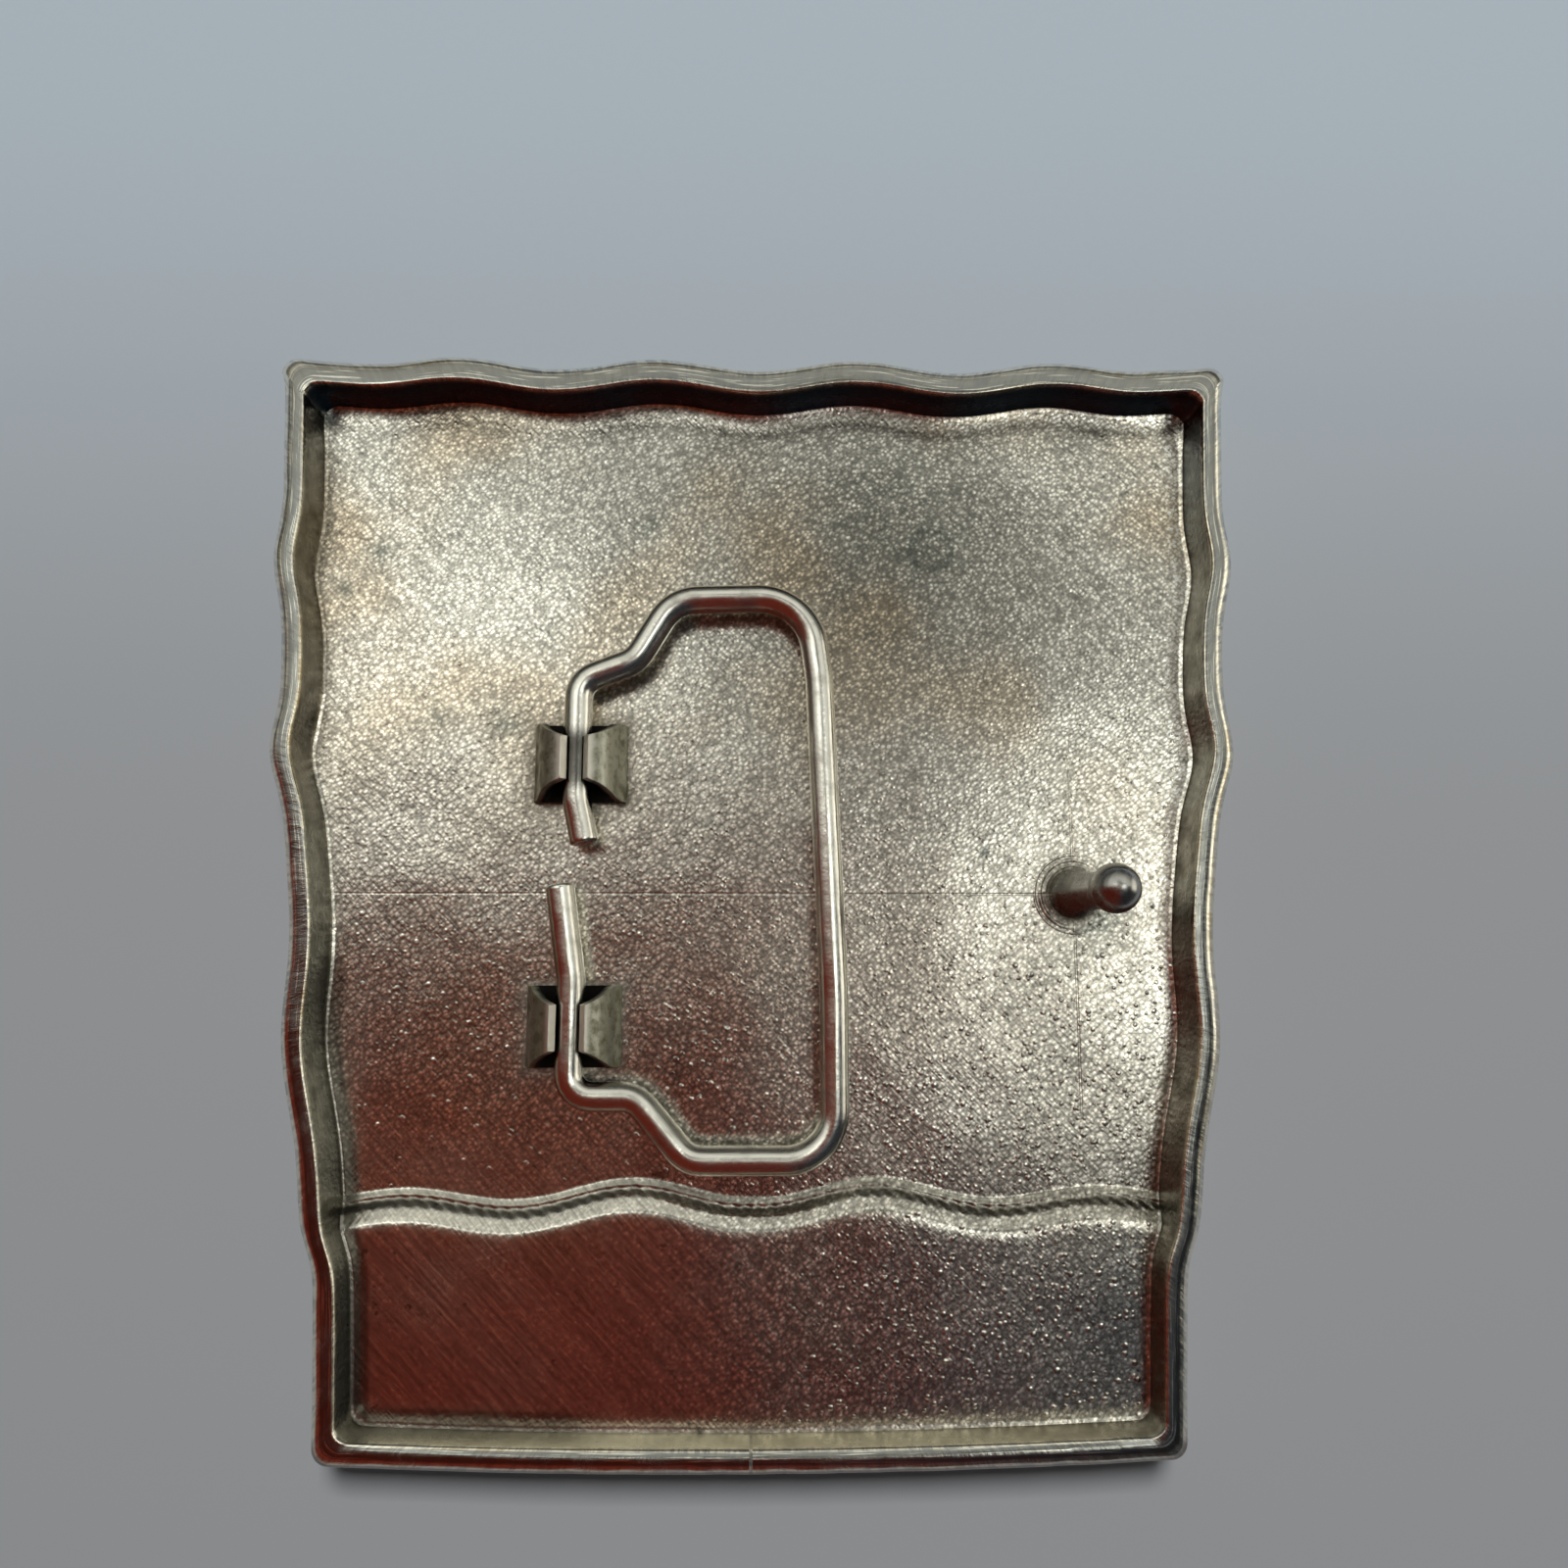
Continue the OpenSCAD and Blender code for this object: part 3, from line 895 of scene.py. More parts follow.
@dataclass
class Plate:
    """Cast plate: its rim, its two back floors with the step between, and its face."""

    shape: PlateShape
    around: int = 236
    wall_foot: float = 2.2
    fillet: float = 0.12
    floor_edge: float = 1.75
    floor_under: float = 1.97
    border: float = 4.3
    face_edge: float = 3.8
    face_over: float = 2.05
    foot_drop: float = 0.25
    crest_in: float = 0.45
    top_reach: float = 4.4
    stud: tuple = STUD
    keepers: tuple = KEEPERS
    cast: CastNickel = CastNickel("cast_nickel", (0.70, 0.67, 0.60), 0.18)
    buffed: PolishedRim = PolishedRim("buffed_rim", (0.72, 0.70, 0.64), 0.16)
    face_finish: CastNickel = CastNickel("face_nickel", (0.68, 0.66, 0.61), 0.24, stud=(900.0, 900.0))

    def rim_section(self) -> Array:
        """Closed section of the rim, from the table up its outer side, over it and down the wall.

        Returns:
            Rows of inset from the outline, height and wall weight.
        """
        return np.array([
            (2.0, 0.0, 0), (0.9, 0.0, 0), (0.62, 0.06, 0), (0.37, 0.19, 0), (0.17, 0.40, 0),
            (0.05, 0.66, 0), (0.0, 0.95, 0), (0.0, 1.6, 0), (0.0, 2.4, 0), (0.0, 3.2, 0), (0.0, 4.0, 0),
            (0.0, 4.6, 0), (0.02, 4.95, 0), (0.08, 5.25, 0), (0.19, 5.50, 0), (0.35, 5.71, 0),
            (0.52, 5.88, 0), (0.70, 6.01, 0), (0.90, 6.10, 0), (1.12, 6.16, 0), (1.34, 6.19, 0),
            (1.60, 6.2, 0), (1.78, 6.2, 0), (1.85, 6.18, 0), (1.89, 6.13, 0), (1.92, 6.02, 0.3),
            (1.95, 5.8, 0.9), (1.98, 5.5, 1), (2.03, 5.1, 1), (2.06, 4.7, 1), (2.10, 4.2, 1), (2.13, 3.7, 1),
            (2.17, 3.2, 1), (2.20, 2.7, 1), (2.24, 2.3, 1), (2.3, 2.04, 1), (3.2, 2.02, 1),
            (4.3, 2.02, 1), (4.3, 1.3, 1), (4.29, 0.7, 0.6), (4.25, 0.36, 0.2), (4.17, 0.13, 0),
            (4.05, 0.02, 0), (3.9, 0.0, 0), (3.0, 0.0, 0)])

    def rim(self) -> bpy.types.Object:
        """Rim and border: the section carried round the outline.

        Every section point follows the outline moved in by its inset. Shallow noise on the
        height and the inset leaves the unevenness of hand finishing. Along the foot edge the
        inner shoulder falls by foot_drop from inset 1.4 to 1.9, and within top_reach of the
        top edge the crest and the wall stand in by up to crest_in.

        Returns:
            The new object, settled on its body.
        """
        section = self.rim_section()
        rings = self.shape.rings(section[:, 0], self.around)
        x, y = rings[..., 0], rings[..., 1]
        inset = section[:, :1]
        level = section[:, 1:2] + 0 * x
        crown = np.clip((level - 4.4) / 1.2, 0, 1) * np.clip((6.2 - level) / 0.3, 0.0, 1)
        middle = rings[20]
        push = np.maximum(0.045 * crown * lattice_noise(x * 0.6, y * 0.6, 1.3, 11), 0)
        step = np.roll(middle, -1, 0) - np.roll(middle, 1, 0)
        length = np.maximum(np.hypot(*step.T), 1e-6)
        x = x - push * (step[:, 1] / length)[None]
        y = y + push * (step[:, 0] / length)[None]
        level = level + 0.03 * crown * lattice_noise(x, y, 1.7, 12)
        foot = smoothstep((3.0 - y - self.shape.half_h) / 1.2)
        shoulder = smoothstep((inset - 1.4) / 0.5) * smoothstep((level - 3.6) / 2.2)
        level = level - self.foot_drop * foot * shoulder
        above = smoothstep((y - self.shape.half_h + self.top_reach) / 1.6)
        stand = self.crest_in - 0.25 * smoothstep((5.0 - level) / 3)
        y = y - above * smoothstep((inset - 0.8) / 1.1) * (inset < 3) * stand
        points = np.stack([x, y, np.minimum(level, self.shape.rim_z)], -1).reshape(-1, 3)
        rows, cols = x.shape
        quads = grid_quads(rows, cols, wrap_rows=True, wrap_cols=True)
        piece = mesh_object("plate_rim", points, [quads], sharp=50)
        travel = np.concatenate([[0], np.cumsum(np.hypot(*np.diff(middle, axis=0).T))])
        self.keep_run(piece, np.broadcast_to(travel, x.shape), inset + 0 * x, level)
        wall = np.repeat(section[:, 2:3], cols, 1)
        store(piece, "wall", wall)
        # Painted shade on the wall near the top edge and on the upper right.
        high = smoothstep((y - self.shape.half_h + self.top_reach) / 1.2)
        right = 0.55 * smoothstep((x - 20) / 8) * smoothstep((y - 22) / 8)
        store(piece, "painted_wall_shade", wall * np.maximum(high, right))
        # Weight of the foot edge, for the painted light on its wall and the painted reflection on its
        # shoulder.
        store(piece, "bright", foot)
        piece.data.materials.append(self.buffed.build())
        return settle(piece, Body.BUCKLE, Slot.PLATE, "plate")

    @staticmethod
    def keep_run(piece: bpy.types.Object, *axes: Array) -> None:
        """Keep travel along a sweep, and two places across it, on the points in millimetres."""
        layer = piece.data.attributes.new("run", "FLOAT_VECTOR", "POINT")
        layer.data.foreach_set("vector", np.stack(axes, -1).astype(np.float32).ravel())

    def step_height(self, x: Array, y: Array) -> Array:
        """Rise of the step between the floors, from 0 to their difference.

        With t the distance below the plateau's line: a low roll up to t = 0.5, a groove
        at 0.6, a foot of about 45 degrees up to 0.95, then a face of 29 degrees that eases
        off from 1.9 until it is level at 2.6. Slanting pits line the foot of the face and
        fine ridges cross its upper part.

        Args:
            x: Places across the plate, in millimetres.
            y: Places up the plate.

        Returns:
            The rise, averaged over five places 0.05 apart so that its corners are round.
        """
        t = self.shape.plateau(x) - y
        along = (-0.15, 0.0, 0.15, 0.32, 0.46, 0.56, 0.65, 0.95, 1.1, 1.85, 2.0, 2.15, 2.4, 2.7)
        height = (0.0, 0.03, 0.11, 0.16, 0.155, 0.15, 0.22, 0.52, 0.65, 1.07, 1.13, 1.16, 1.185,
                  self.shape.lower_z - self.shape.upper_z)
        rise = sum(np.interp(t + shift, along, height) for shift in (-0.1, -0.05, 0, 0.05, 0.1)) / 5
        ridges = 0.014 * np.cos(2 * np.pi * (x + 0.4 * t) / 0.56) * np.exp(-((t - 1.8) / 0.4) ** 2)
        return rise - 0.14 * self.step_pits(x, t) + ridges

    @staticmethod
    def step_pits(x: Array, t: Array) -> Array:
        """Weight of the slanting pits, 1.05 apart, along the foot of the step's face.

        Args:
            x: Places across the plate.
            t: Distances below the plateau's line.

        Returns:
            cos^4 of the slanting beat, times a bell across the line of pits, times an uneven depth.
        """
        beat = 0.5 + 0.5 * np.cos(2 * np.pi * (x - 1.1 * t + 0.3 * lattice_noise(x, 0 * x, 2.0, 24)) / 1.05)
        middle = 0.80 + 0.08 * lattice_noise(x, 0 * x, 4.0, 25)
        uneven = 0.45 + 0.55 * smoothstep(0.5 + lattice_noise(x, 0 * x, 6.0, 23))
        return beat ** 2 * np.exp(-((t - middle) / 0.27) ** 2) * uneven

    def floor_height(self, x: Array, y: Array) -> Array:
        """Height of the back floor: two levels, the step, the wall's fillet and low waves.

        Within 1.8 mm of the walls the upper floor dishes up by 0.12 (1 - wall / 1.8)^2, and
        under the top wall by 0.25 (1 - wall / 2.2)^2.

        Args:
            x: Places across the plate, in millimetres.
            y: Places up the plate.

        Returns:
            The height over the face's plane.
        """
        wall = self.shape.wall_distance(x, y, self.wall_foot)
        rise = np.clip(self.fillet - wall, 0, self.fillet)
        hollow = self.fillet - np.sqrt(np.maximum(self.fillet ** 2 - rise ** 2, 0))
        above = smoothstep((y - self.shape.half_h + 6.5) / 1.5)
        hollow = hollow + 0.12 * np.clip(1 - wall / 1.8, 0, 1) ** 2 * smoothstep((y + 14) / 8) * (1 - above)
        hollow = hollow + 0.25 * np.clip(1 - wall / 2.2, 0, 1) ** 2 * above
        waves = 0.03 * lattice_noise(x, y, 5.0, 21) + 0.008 * lattice_noise(x, y, 1.9, 22)
        calm = smoothstep(np.hypot(x - self.stud[0], y - self.stud[1]) / 6)
        return self.shape.upper_z + self.step_height(x, y) + hollow + waves * calm

    def dirt_and_shade(self, x: Array, y: Array) -> Array:
        """Weight of darkening: dirt along the walls and round the keepers, painted shade in the step's pits
        and groove and round the stud's foot.

        Args:
            x: Places across the plate, in millimetres.
            y: Places up the plate.

        Returns:
            The greatest of the three weights, from 0 to 0.92.
        """
        wall = self.shape.wall_distance(x, y, self.wall_foot)
        patch = 0.5 + 0.5 * lattice_noise(x, y, 2.3, 31)
        edge = np.exp(-np.maximum(wall, 0) / 0.12) * (0.05 + 0.5 * patch)
        t = self.shape.plateau(x) - y
        # Painted shade in the step's pits, its groove and the foot of its face.
        crevice = np.maximum(0.98 * self.step_pits(x, t), 0.45 * np.exp(-((t - 0.2) / 0.28) ** 2))
        crevice = np.maximum(crevice, (0.3 + 0.35 * patch) * np.exp(-((t - 0.72) / 0.30) ** 4))
        around = np.zeros_like(x)
        for kx, ky in self.keepers:
            out = np.maximum(np.abs(x - kx) - 3.6, np.abs(y - ky) - 3.0)
            around = np.maximum(around, np.exp(-np.maximum(out, 0) / 0.6) * (0.25 + 0.6 * patch))
        # Painted shade round the stud's foot.
        reach = np.hypot(x - self.stud[0], y - self.stud[1])
        around = np.maximum(around, 0.9 * np.exp(-np.maximum(reach - 1.9, 0) / 0.35))
        return np.clip(np.maximum(np.maximum(edge, crevice), around), 0, 0.92)

    def stain(self, x: Array, y: Array) -> Array:
        """Weight of the grey-green tarnish: soft spots, each with its place, reach and depth.

        One spot more is a ring of radius 1.7 where a drop has dried.

        Args:
            x: Places across the plate, in millimetres.
            y: Places up the plate.

        Returns:
            depth * exp(-(distance / reach)^2) of the strongest spot, made ragged by noise.
        """
        spots = ((12.5, 28.0, 7.5, 0.42), (9.0, 21.0, 7.0, 0.28), (-8.7, 28.8, 1.0, 0.6),
                 (-30.2, 26.4, 0.9, 0.6), (-32.8, 23.2, 0.8, 0.55), (-25.5, 12.5, 1.2, 0.5),
                 (-19.5, 12.4, 1.4, 0.6), (6.5, 29.5, 1.0, 0.5), (-6.0, -14.0, 1.4, 0.35),
                 (18.0, 2.2, 0.5, 0.7), (27.0, -3.5, 2.2, 0.4), (2.0, 20.0, 2.5, 0.2))
        total = np.zeros_like(x)
        ragged = 0.7 + 0.6 * lattice_noise(x, y, 0.8, 41)
        for sx, sy, reach, depth in spots:
            away = np.hypot(x - sx, y - sy) / reach
            total = np.maximum(total, depth * np.exp(-away ** 2) * ragged)
        ring = np.hypot(x - 14.2, y - 26.8)
        ring = 0.75 * np.exp(-((ring - 1.7) / 0.35) ** 2) + 0.45 * np.exp(-(ring / 1.3) ** 4)
        return np.clip(np.maximum(total, ring * (0.55 + 0.45 * ragged)), 0, 1)

    def crowd(self, x: Array, y: Array) -> Array:
        """How thickly the casting has blistered: most toward the lower right.

        Args:
            x: Places across the plate, in millimetres.
            y: Places up the plate.

        Returns:
            The weight, from 0 to 1.
        """
        spread = 0.45 + 0.55 * smoothstep((x + 30) / 40) * smoothstep((26 - y) / 30)
        corner = smoothstep((-8 - y) / 16) * smoothstep((10 - x) / 20)
        return spread * (1 - 0.75 * corner) * (1 - 0.35 * smoothstep((-21 - y) / 4))

    def painted_wall_light(self, x: Array, y: Array) -> Array:
        """Strip beside the walls: painted light, brighter (to 1) at the right, and painted shade, duller (to
        -1) at the lower left.

        Args:
            x: Places across the plate, in millimetres.
            y: Places up the plate.

        Returns:
            The weight, 0 away from the walls.
        """
        wall = self.shape.wall_distance(x, y, self.wall_foot)
        # strip is painted reflected light at the right; dull is painted shade at the lower left.
        strip = smoothstep((1.9 - wall) / 0.9) * smoothstep((x + 8) / 8) * smoothstep((y + 21) / 5)
        dull = smoothstep((1.5 - wall) / 0.6) * smoothstep((-8 - x) / 8) * smoothstep((-2 - y) / 8)
        return strip - dull

    @staticmethod
    def combed(x: Array, y: Array) -> Array:
        """Weight of the slanting scratches, clearest toward the sides and the top corners.

        Args:
            x: Places across the plate, in millimetres.
            y: Places up the plate.

        Returns:
            The weight, from 0 to 1.
        """
        outer = smoothstep((np.abs(x) - 20) / 10) * smoothstep((y + 14) / 12)
        return np.clip(outer + 0.9 * smoothstep((-10 - y) / 10) * smoothstep((12 - x) / 20), 0, 1)

    def dress_floor(self, piece: bpy.types.Object, x: Array, y: Array,
                    finish: Finish | bpy.types.Material) -> None:
        """Keep dirt and painted shade, stains, blistering, painted wall light and scratches on the points
        and give the piece its finish.

        Args:
            piece: Piece of the floor.
            x: Places across the plate, in millimetres.
            y: Places up the plate.
            finish: Finish to build, or a material made already.
        """
        store(piece, "dirt_and_shade", self.dirt_and_shade(x, y))
        store(piece, "stain", self.stain(x, y))
        store(piece, "crowd", self.crowd(x, y))
        store(piece, "painted_wall_light", self.painted_wall_light(x, y))
        store(piece, "combed", self.combed(x, y))
        piece.data.materials.append(finish.build() if isinstance(finish, Finish) else finish)

    def floor(self) -> bpy.types.Object:
        """Back floor: a height field over a grid that follows the edges and the step.

        Returns:
            The new object, settled on its body.
        """
        x, y = self.shape.floor_grid(self.floor_edge, (52, 58, 178), 330, 0.9, 2.6)
        z = self.floor_height(x, y)
        points, faces = slab(x, y, z, self.floor_under)
        piece = mesh_object("plate_floor", points, faces, sharp=60)
        self.dress_floor(piece, points[:, 0], points[:, 1], self.cast)
        return settle(piece, Body.BUCKLE, Slot.PLATE, "plate")

    def pimples(self, floor: bpy.types.Object) -> bpy.types.Object:
        """Small round pimples of the casting, strewn over the floor.

        Each pimple has four rings of eight points, from its full radius just under the floor
        to a fifth of it at the top, closed by flat ends.

        Args:
            floor: The floor, whose material they share.

        Returns:
            The new object, settled on its body.
        """
        random = np.random.default_rng(5)
        pitch = 0.8
        gx, gy = np.meshgrid(np.arange(-36, 36, pitch), np.arange(-41, 41, pitch))
        x = (gx + random.uniform(-0.36, 0.36, gx.shape)).ravel()
        y = (gy + random.uniform(-0.36, 0.36, gx.shape)).ravel()
        wall = self.shape.wall_distance(x, y, self.wall_foot)
        t = self.shape.plateau(x) - y
        keep = (wall > 0.5) & ((t < -0.25) | (t > 1.9))
        keep &= np.hypot(x - self.stud[0], y - self.stud[1]) > 3.9
        for kx, ky in self.keepers:
            keep &= np.maximum(np.abs(x - kx) - 3.8, np.abs(y - ky) - 3.3) > 0
        crowd = 0.40 * smoothstep((x + 6) / 24) * smoothstep((-6 - y) / 14)
        crowd = crowd + 0.12 * smoothstep((2 - y) / 8) * smoothstep((y + 25) / 5) * smoothstep((x + 36) / 12)
        crowd = crowd + 0.02 * (y < 0) * (y > -24)
        crowd = crowd * (0.6 + 0.8 * (0.5 + 0.5 * lattice_noise(x, y, 5.0, 51)))
        keep &= random.uniform(0, 1, x.shape) < crowd
        row = np.linspace(0, 1, 8)
        x = np.concatenate([x[keep], 10.8 + 3.1 * row])
        y = np.concatenate([y[keep], -32.0 - 2.8 * row])
        n = len(x)
        radius = random.uniform(0.14, 0.27, n)
        height = radius * random.uniform(0.07, 0.15, n) * (0.55 + 0.45 * smoothstep((x + 5) / 15))
        height[-8:] = 0.5 * radius[-8:]
        base = self.floor_height(x, y)
        angle = np.linspace(0, 2 * np.pi, 8, endpoint=False)
        ring = np.stack([np.cos(angle), np.sin(angle)], -1)
        sizes = np.array([1.0, 0.82, 0.55, 0.2])
        levels = np.array([-0.2, 0.36, 0.78, 1.0])
        flat = (np.stack([x, y], -1)[:, None, None]
                + ring[None, None] * (sizes[None, :] * radius[:, None])[..., None, None])
        rise = base[:, None] + levels[None] * height[:, None]
        points = np.concatenate([flat, np.broadcast_to(rise[..., None, None], flat.shape[:3] + (1,))], -1)
        start = np.arange(n)[:, None, None] * 32
        quads = (start + grid_quads(4, 8, wrap_cols=True)[None]).reshape(-1, 4)
        caps = np.arange(8)[None]
        ends = np.concatenate([start[:, 0] + caps[:, ::-1], start[:, 0] + 24 + caps])
        points = points.reshape(-1, 3)
        piece = mesh_object("floor_pimples", points, [quads, ends], sharp=80)
        self.dress_floor(piece, points[:, 0], points[:, 1], floor.data.materials[0])
        return settle(piece, Body.BUCKLE, Slot.PLATE, "plate")

    def stud_seat(self, floor: bpy.types.Object) -> bpy.types.Object:
        """Faint turned rings where the stud is seated, sinking into the floor at their edge.

        The height over the floor is 0.03 plus rings of up to 0.045 at a pitch of 0.44 mm,
        deeper on the side of the bail, less a drop of 0.08 outside a radius of 2.6 mm.

        Args:
            floor: The floor, whose material it shares.

        Returns:
            The new object, settled on its body.
        """
        r = np.linspace(0.6, 3.8, 46)[:, None]
        a = np.linspace(0, 2 * np.pi, 120, endpoint=False)[None]
        x = self.stud[0] + r * np.cos(a)
        y = self.stud[1] + r * np.sin(a)
        side = (0.5 + 0.5 * np.cos(a - 2.6)) ** 2
        window = smoothstep((r - 1.9) / 0.3) * smoothstep((3.8 - r) / 0.8)
        z = self.shape.upper_z + 0.03 + 0.045 * side * window * np.cos(2 * np.pi * r / 0.44)
        z = z - 0.08 * smoothstep((r - 2.6) / 1.2)
        top = np.stack([x, y, z], -1)
        under = top[::-1] * np.array([1, 1, 0]) + np.array([0, 0, self.shape.upper_z - 0.22])
        wall = np.concatenate([top, under[:1], under[-1:]])
        points = wall.reshape(-1, 3)
        quads = grid_quads(len(wall), wall.shape[1], wrap_rows=True, wrap_cols=True)
        piece = mesh_object("stud_seat", points, [quads], sharp=80)
        self.dress_floor(piece, points[:, 0], points[:, 1], floor.data.materials[0])
        return settle(piece, Body.BUCKLE, Slot.PLATE, "plate")

    def face(self) -> bpy.types.Object:
        """Face inside its border: a shallow field, a wavy rail and a deeper band.

        With s the distance above the plateau's line, the roof is 0.7 for s over 1.8, 0.03
        between -1.2 and 1.2, and 1.9 under -1.8, with smooth sides, and it comes down
        toward the border in a fillet.

        Returns:
            The new object, settled on its body.
        """
        x, y = self.shape.floor_grid(self.face_edge, (44, 40, 110), 170, 2.6, 2.6)
        s = y - self.shape.plateau(x)
        roof = 0.03 + (self.shape.field_z - 0.03) * smoothstep((s - 1.2) / 0.6)
        roof = roof + (self.shape.band_z - 0.03) * smoothstep((-s - 1.2) / 0.6)
        wall = self.shape.wall_distance(x, y, self.border)
        roof = roof * (1 - 0.55 * (1 - smoothstep(wall / 0.7)))
        fine = 0.02 * lattice_noise(x, y, 1.2, 61) + 0.03 * lattice_noise(x, y, 4.0, 62)
        roof = roof + np.maximum(fine, 0) * (roof > 0.3)
        points, faces = slab(x, y, roof, self.face_over)
        piece = mesh_object("face_panel", points, faces, sharp=60)
        wall = self.shape.wall_distance(points[:, 0], points[:, 1], self.border)
        # Darker toward the border.
        store(piece, "dirt_and_shade", 0.55 * np.exp(-np.maximum(wall, 0) / 0.5))
        store(piece, "stain", np.zeros(len(points)))
        store(piece, "crowd", np.zeros(len(points)))
        piece.data.materials.append(self.face_finish.build())
        return settle(piece, Body.BUCKLE, Slot.PLATE, "plate")

    def build(self) -> None:
        """Make the five pieces of the plate."""
        self.rim()
        floor = self.floor()
        self.pimples(floor)
        self.stud_seat(floor)
        self.face()


# ---------------------------------------------------------------- the hardware


def cut_corners(points: Array, times: int) -> Array:
    """Round a polyline by cutting its corners, keeping its two ends.

    Each pass puts two points on every length, at a quarter and at three quarters of it.

    Args:
        points: Corners of the polyline, one row each.
        times: Number of passes.

    Returns:
        The rounded polyline.
    """
    for _ in range(times):
        a, b = points[:-1], points[1:]
        inner = np.stack([0.75 * a + 0.25 * b, 0.25 * a + 0.75 * b], 1).reshape(-1, points.shape[-1])
        points = np.concatenate([points[:1], inner[1:-1], points[-1:]])
    return points


@dataclass
class Keeper:
    """Strip bent up into two ears that curl in over the wire."""

    name: str
    x: float
    y: float
    floor_z: float
    gap: float
    finish: DullStrip = DullStrip("dull_strip", (0.46, 0.46, 0.39), 0.34)

    def strip(self) -> tuple[Array, Array, Array]:
        """Outer and inner faces of the strip, matched point by point, and how near a tip is.

        Returns:
            Points of the outer face, points of the inner face, and the weight of the tip.
        """
        tip = self.gap / 2
        outer = np.array([(0, 0), (1.8, 0), (3.2, 0), (3.64, 0.12), (3.5, 0.6), (3.15, 1.3),
                          (2.9, 2.2), (2.5, 2.95), (1.95, 3.5), (tip + 0.5, 3.93)])
        inner = np.array([(0, 0.6), (1.6, 0.6), (2.5, 0.62), (2.88, 0.78), (2.84, 1.0), (2.56, 1.5),
                          (2.3, 2.05), (1.98, 2.52), (1.52, 2.98), (tip + 0.06, 3.42)])
        near = np.eye(len(outer))[:, -1:]
        both = cut_corners(np.concatenate([outer, inner, near], 1), 3)
        left = both[:0:-1] * np.array([-1, 1, -1, 1, 1])
        both = np.concatenate([left, both])
        return both[:, :2], both[:, 2:4], both[:, 4]

    def half_length(self, z: Array) -> Array:
        """Half the strip's length along the wire at a height over the floor."""
        return np.interp(z, (0, 1.2, 2.0, 2.8, 3.3, 3.7, 3.95), (3.04, 3.02, 2.84, 2.45, 2.15, 1.85, 1.66))

    def build(self) -> bpy.types.Object:
        """Carry the strip's section along the wire.

        A section point (u, w) at the share v of the length lies at x + u, y + v * half
        length, floor + w. The strip's ends are closed between its two faces.

        Returns:
            The new object, settled on its body.
        """
        outer, inner, near = self.strip()
        k = len(outer)
        loop = np.concatenate([outer, inner[::-1]])
        v = np.sin(np.linspace(-np.pi / 2, np.pi / 2, 15))[:, None]
        level = np.concatenate([outer[:, 1], outer[::-1, 1]])
        along = v * self.half_length(level)[None]
        lift = loop[None, :, 1] + 0 * v
        points = np.stack([self.x + loop[None, :, 0] + 0 * v, self.y + along,
                           self.floor_z + lift], -1).reshape(-1, 3)
        rows, cols = along.shape
        quads = grid_quads(rows, cols, wrap_cols=True)
        i = np.arange(k - 1)
        first = np.stack([i, cols - 1 - i, cols - 2 - i, i + 1], -1)
        last = (rows - 1) * cols + first[:, ::-1]
        piece = mesh_object(self.name, points, [quads, first, last], sharp=60)
        inside = np.concatenate([0 * near, 1 - near[::-1]])
        # Painted shade on the inner face, under the ears.
        store(piece, "hollow", inside[None] + 0 * along)
        # Painted highlight toward the ears' tips.
        store(piece, "painted_tip_highlight", np.concatenate([near, near[::-1]])[None] + 0 * along)
        bevel = piece.modifiers.new("edges", "BEVEL")
        bevel.width = 0.07 * MM
        bevel.segments = 2
        bevel.angle_limit = math.radians(60)
        piece.data.materials.append(self.finish.build())
        return settle(piece, Body.BUCKLE, Slot.KEEPER, self.name.removesuffix("_strip"))


@dataclass
class HookStud:
    """Turned stud with a flared foot, a neck and a ball, leaning away from the bail."""

    x: float
    y: float
    floor_z: float
    lean: float = 12.0
    finish: TurnedMetal = TurnedMetal("turned_metal", (0.46, 0.45, 0.43), 0.20)

    def profile(self) -> Array:
        """Radius and height along the stud: foot, waisted neck, and a ball of radius 1.85.

        Returns:
            Rows of radius and height, from the foot to the top of the ball.
        """
        stem = np.array([(1.80, -0.7), (1.9, -0.3), (1.9, 0.3), (1.88, 0.75), (1.76, 1.2), (1.60, 1.8),
                         (1.49, 2.4), (1.42, 3.0), (1.40, 3.7), (1.40, 4.4), (1.42, 4.95), (1.47, 5.3)])
        angle = np.linspace(np.radians(-36), np.radians(89), 20)
        ball = np.stack([1.85 * np.cos(angle), 6.6 + 1.85 * np.sin(angle)], -1)
        return np.concatenate([cut_corners(stem, 2), ball])

    def build(self) -> bpy.types.Object:
        """Turn the profile, lean it and set it on the floor.

        Returns:
            The new object, settled on its body.
        """
        points, faces = lathe(self.profile(), 56)
        level = points[:, 2].copy()
        turn = np.array(Matrix.Rotation(math.radians(self.lean), 3, "Y"))
        points = points @ turn.T + np.array([self.x, self.y, self.floor_z])
        piece = mesh_object("hook_stud_turned", points, faces, sharp=60)
        store(piece, "level", level)
        piece.data.materials.append(self.finish.build())
        return settle(piece, Body.BUCKLE, Slot.STUD, "hook_stud")


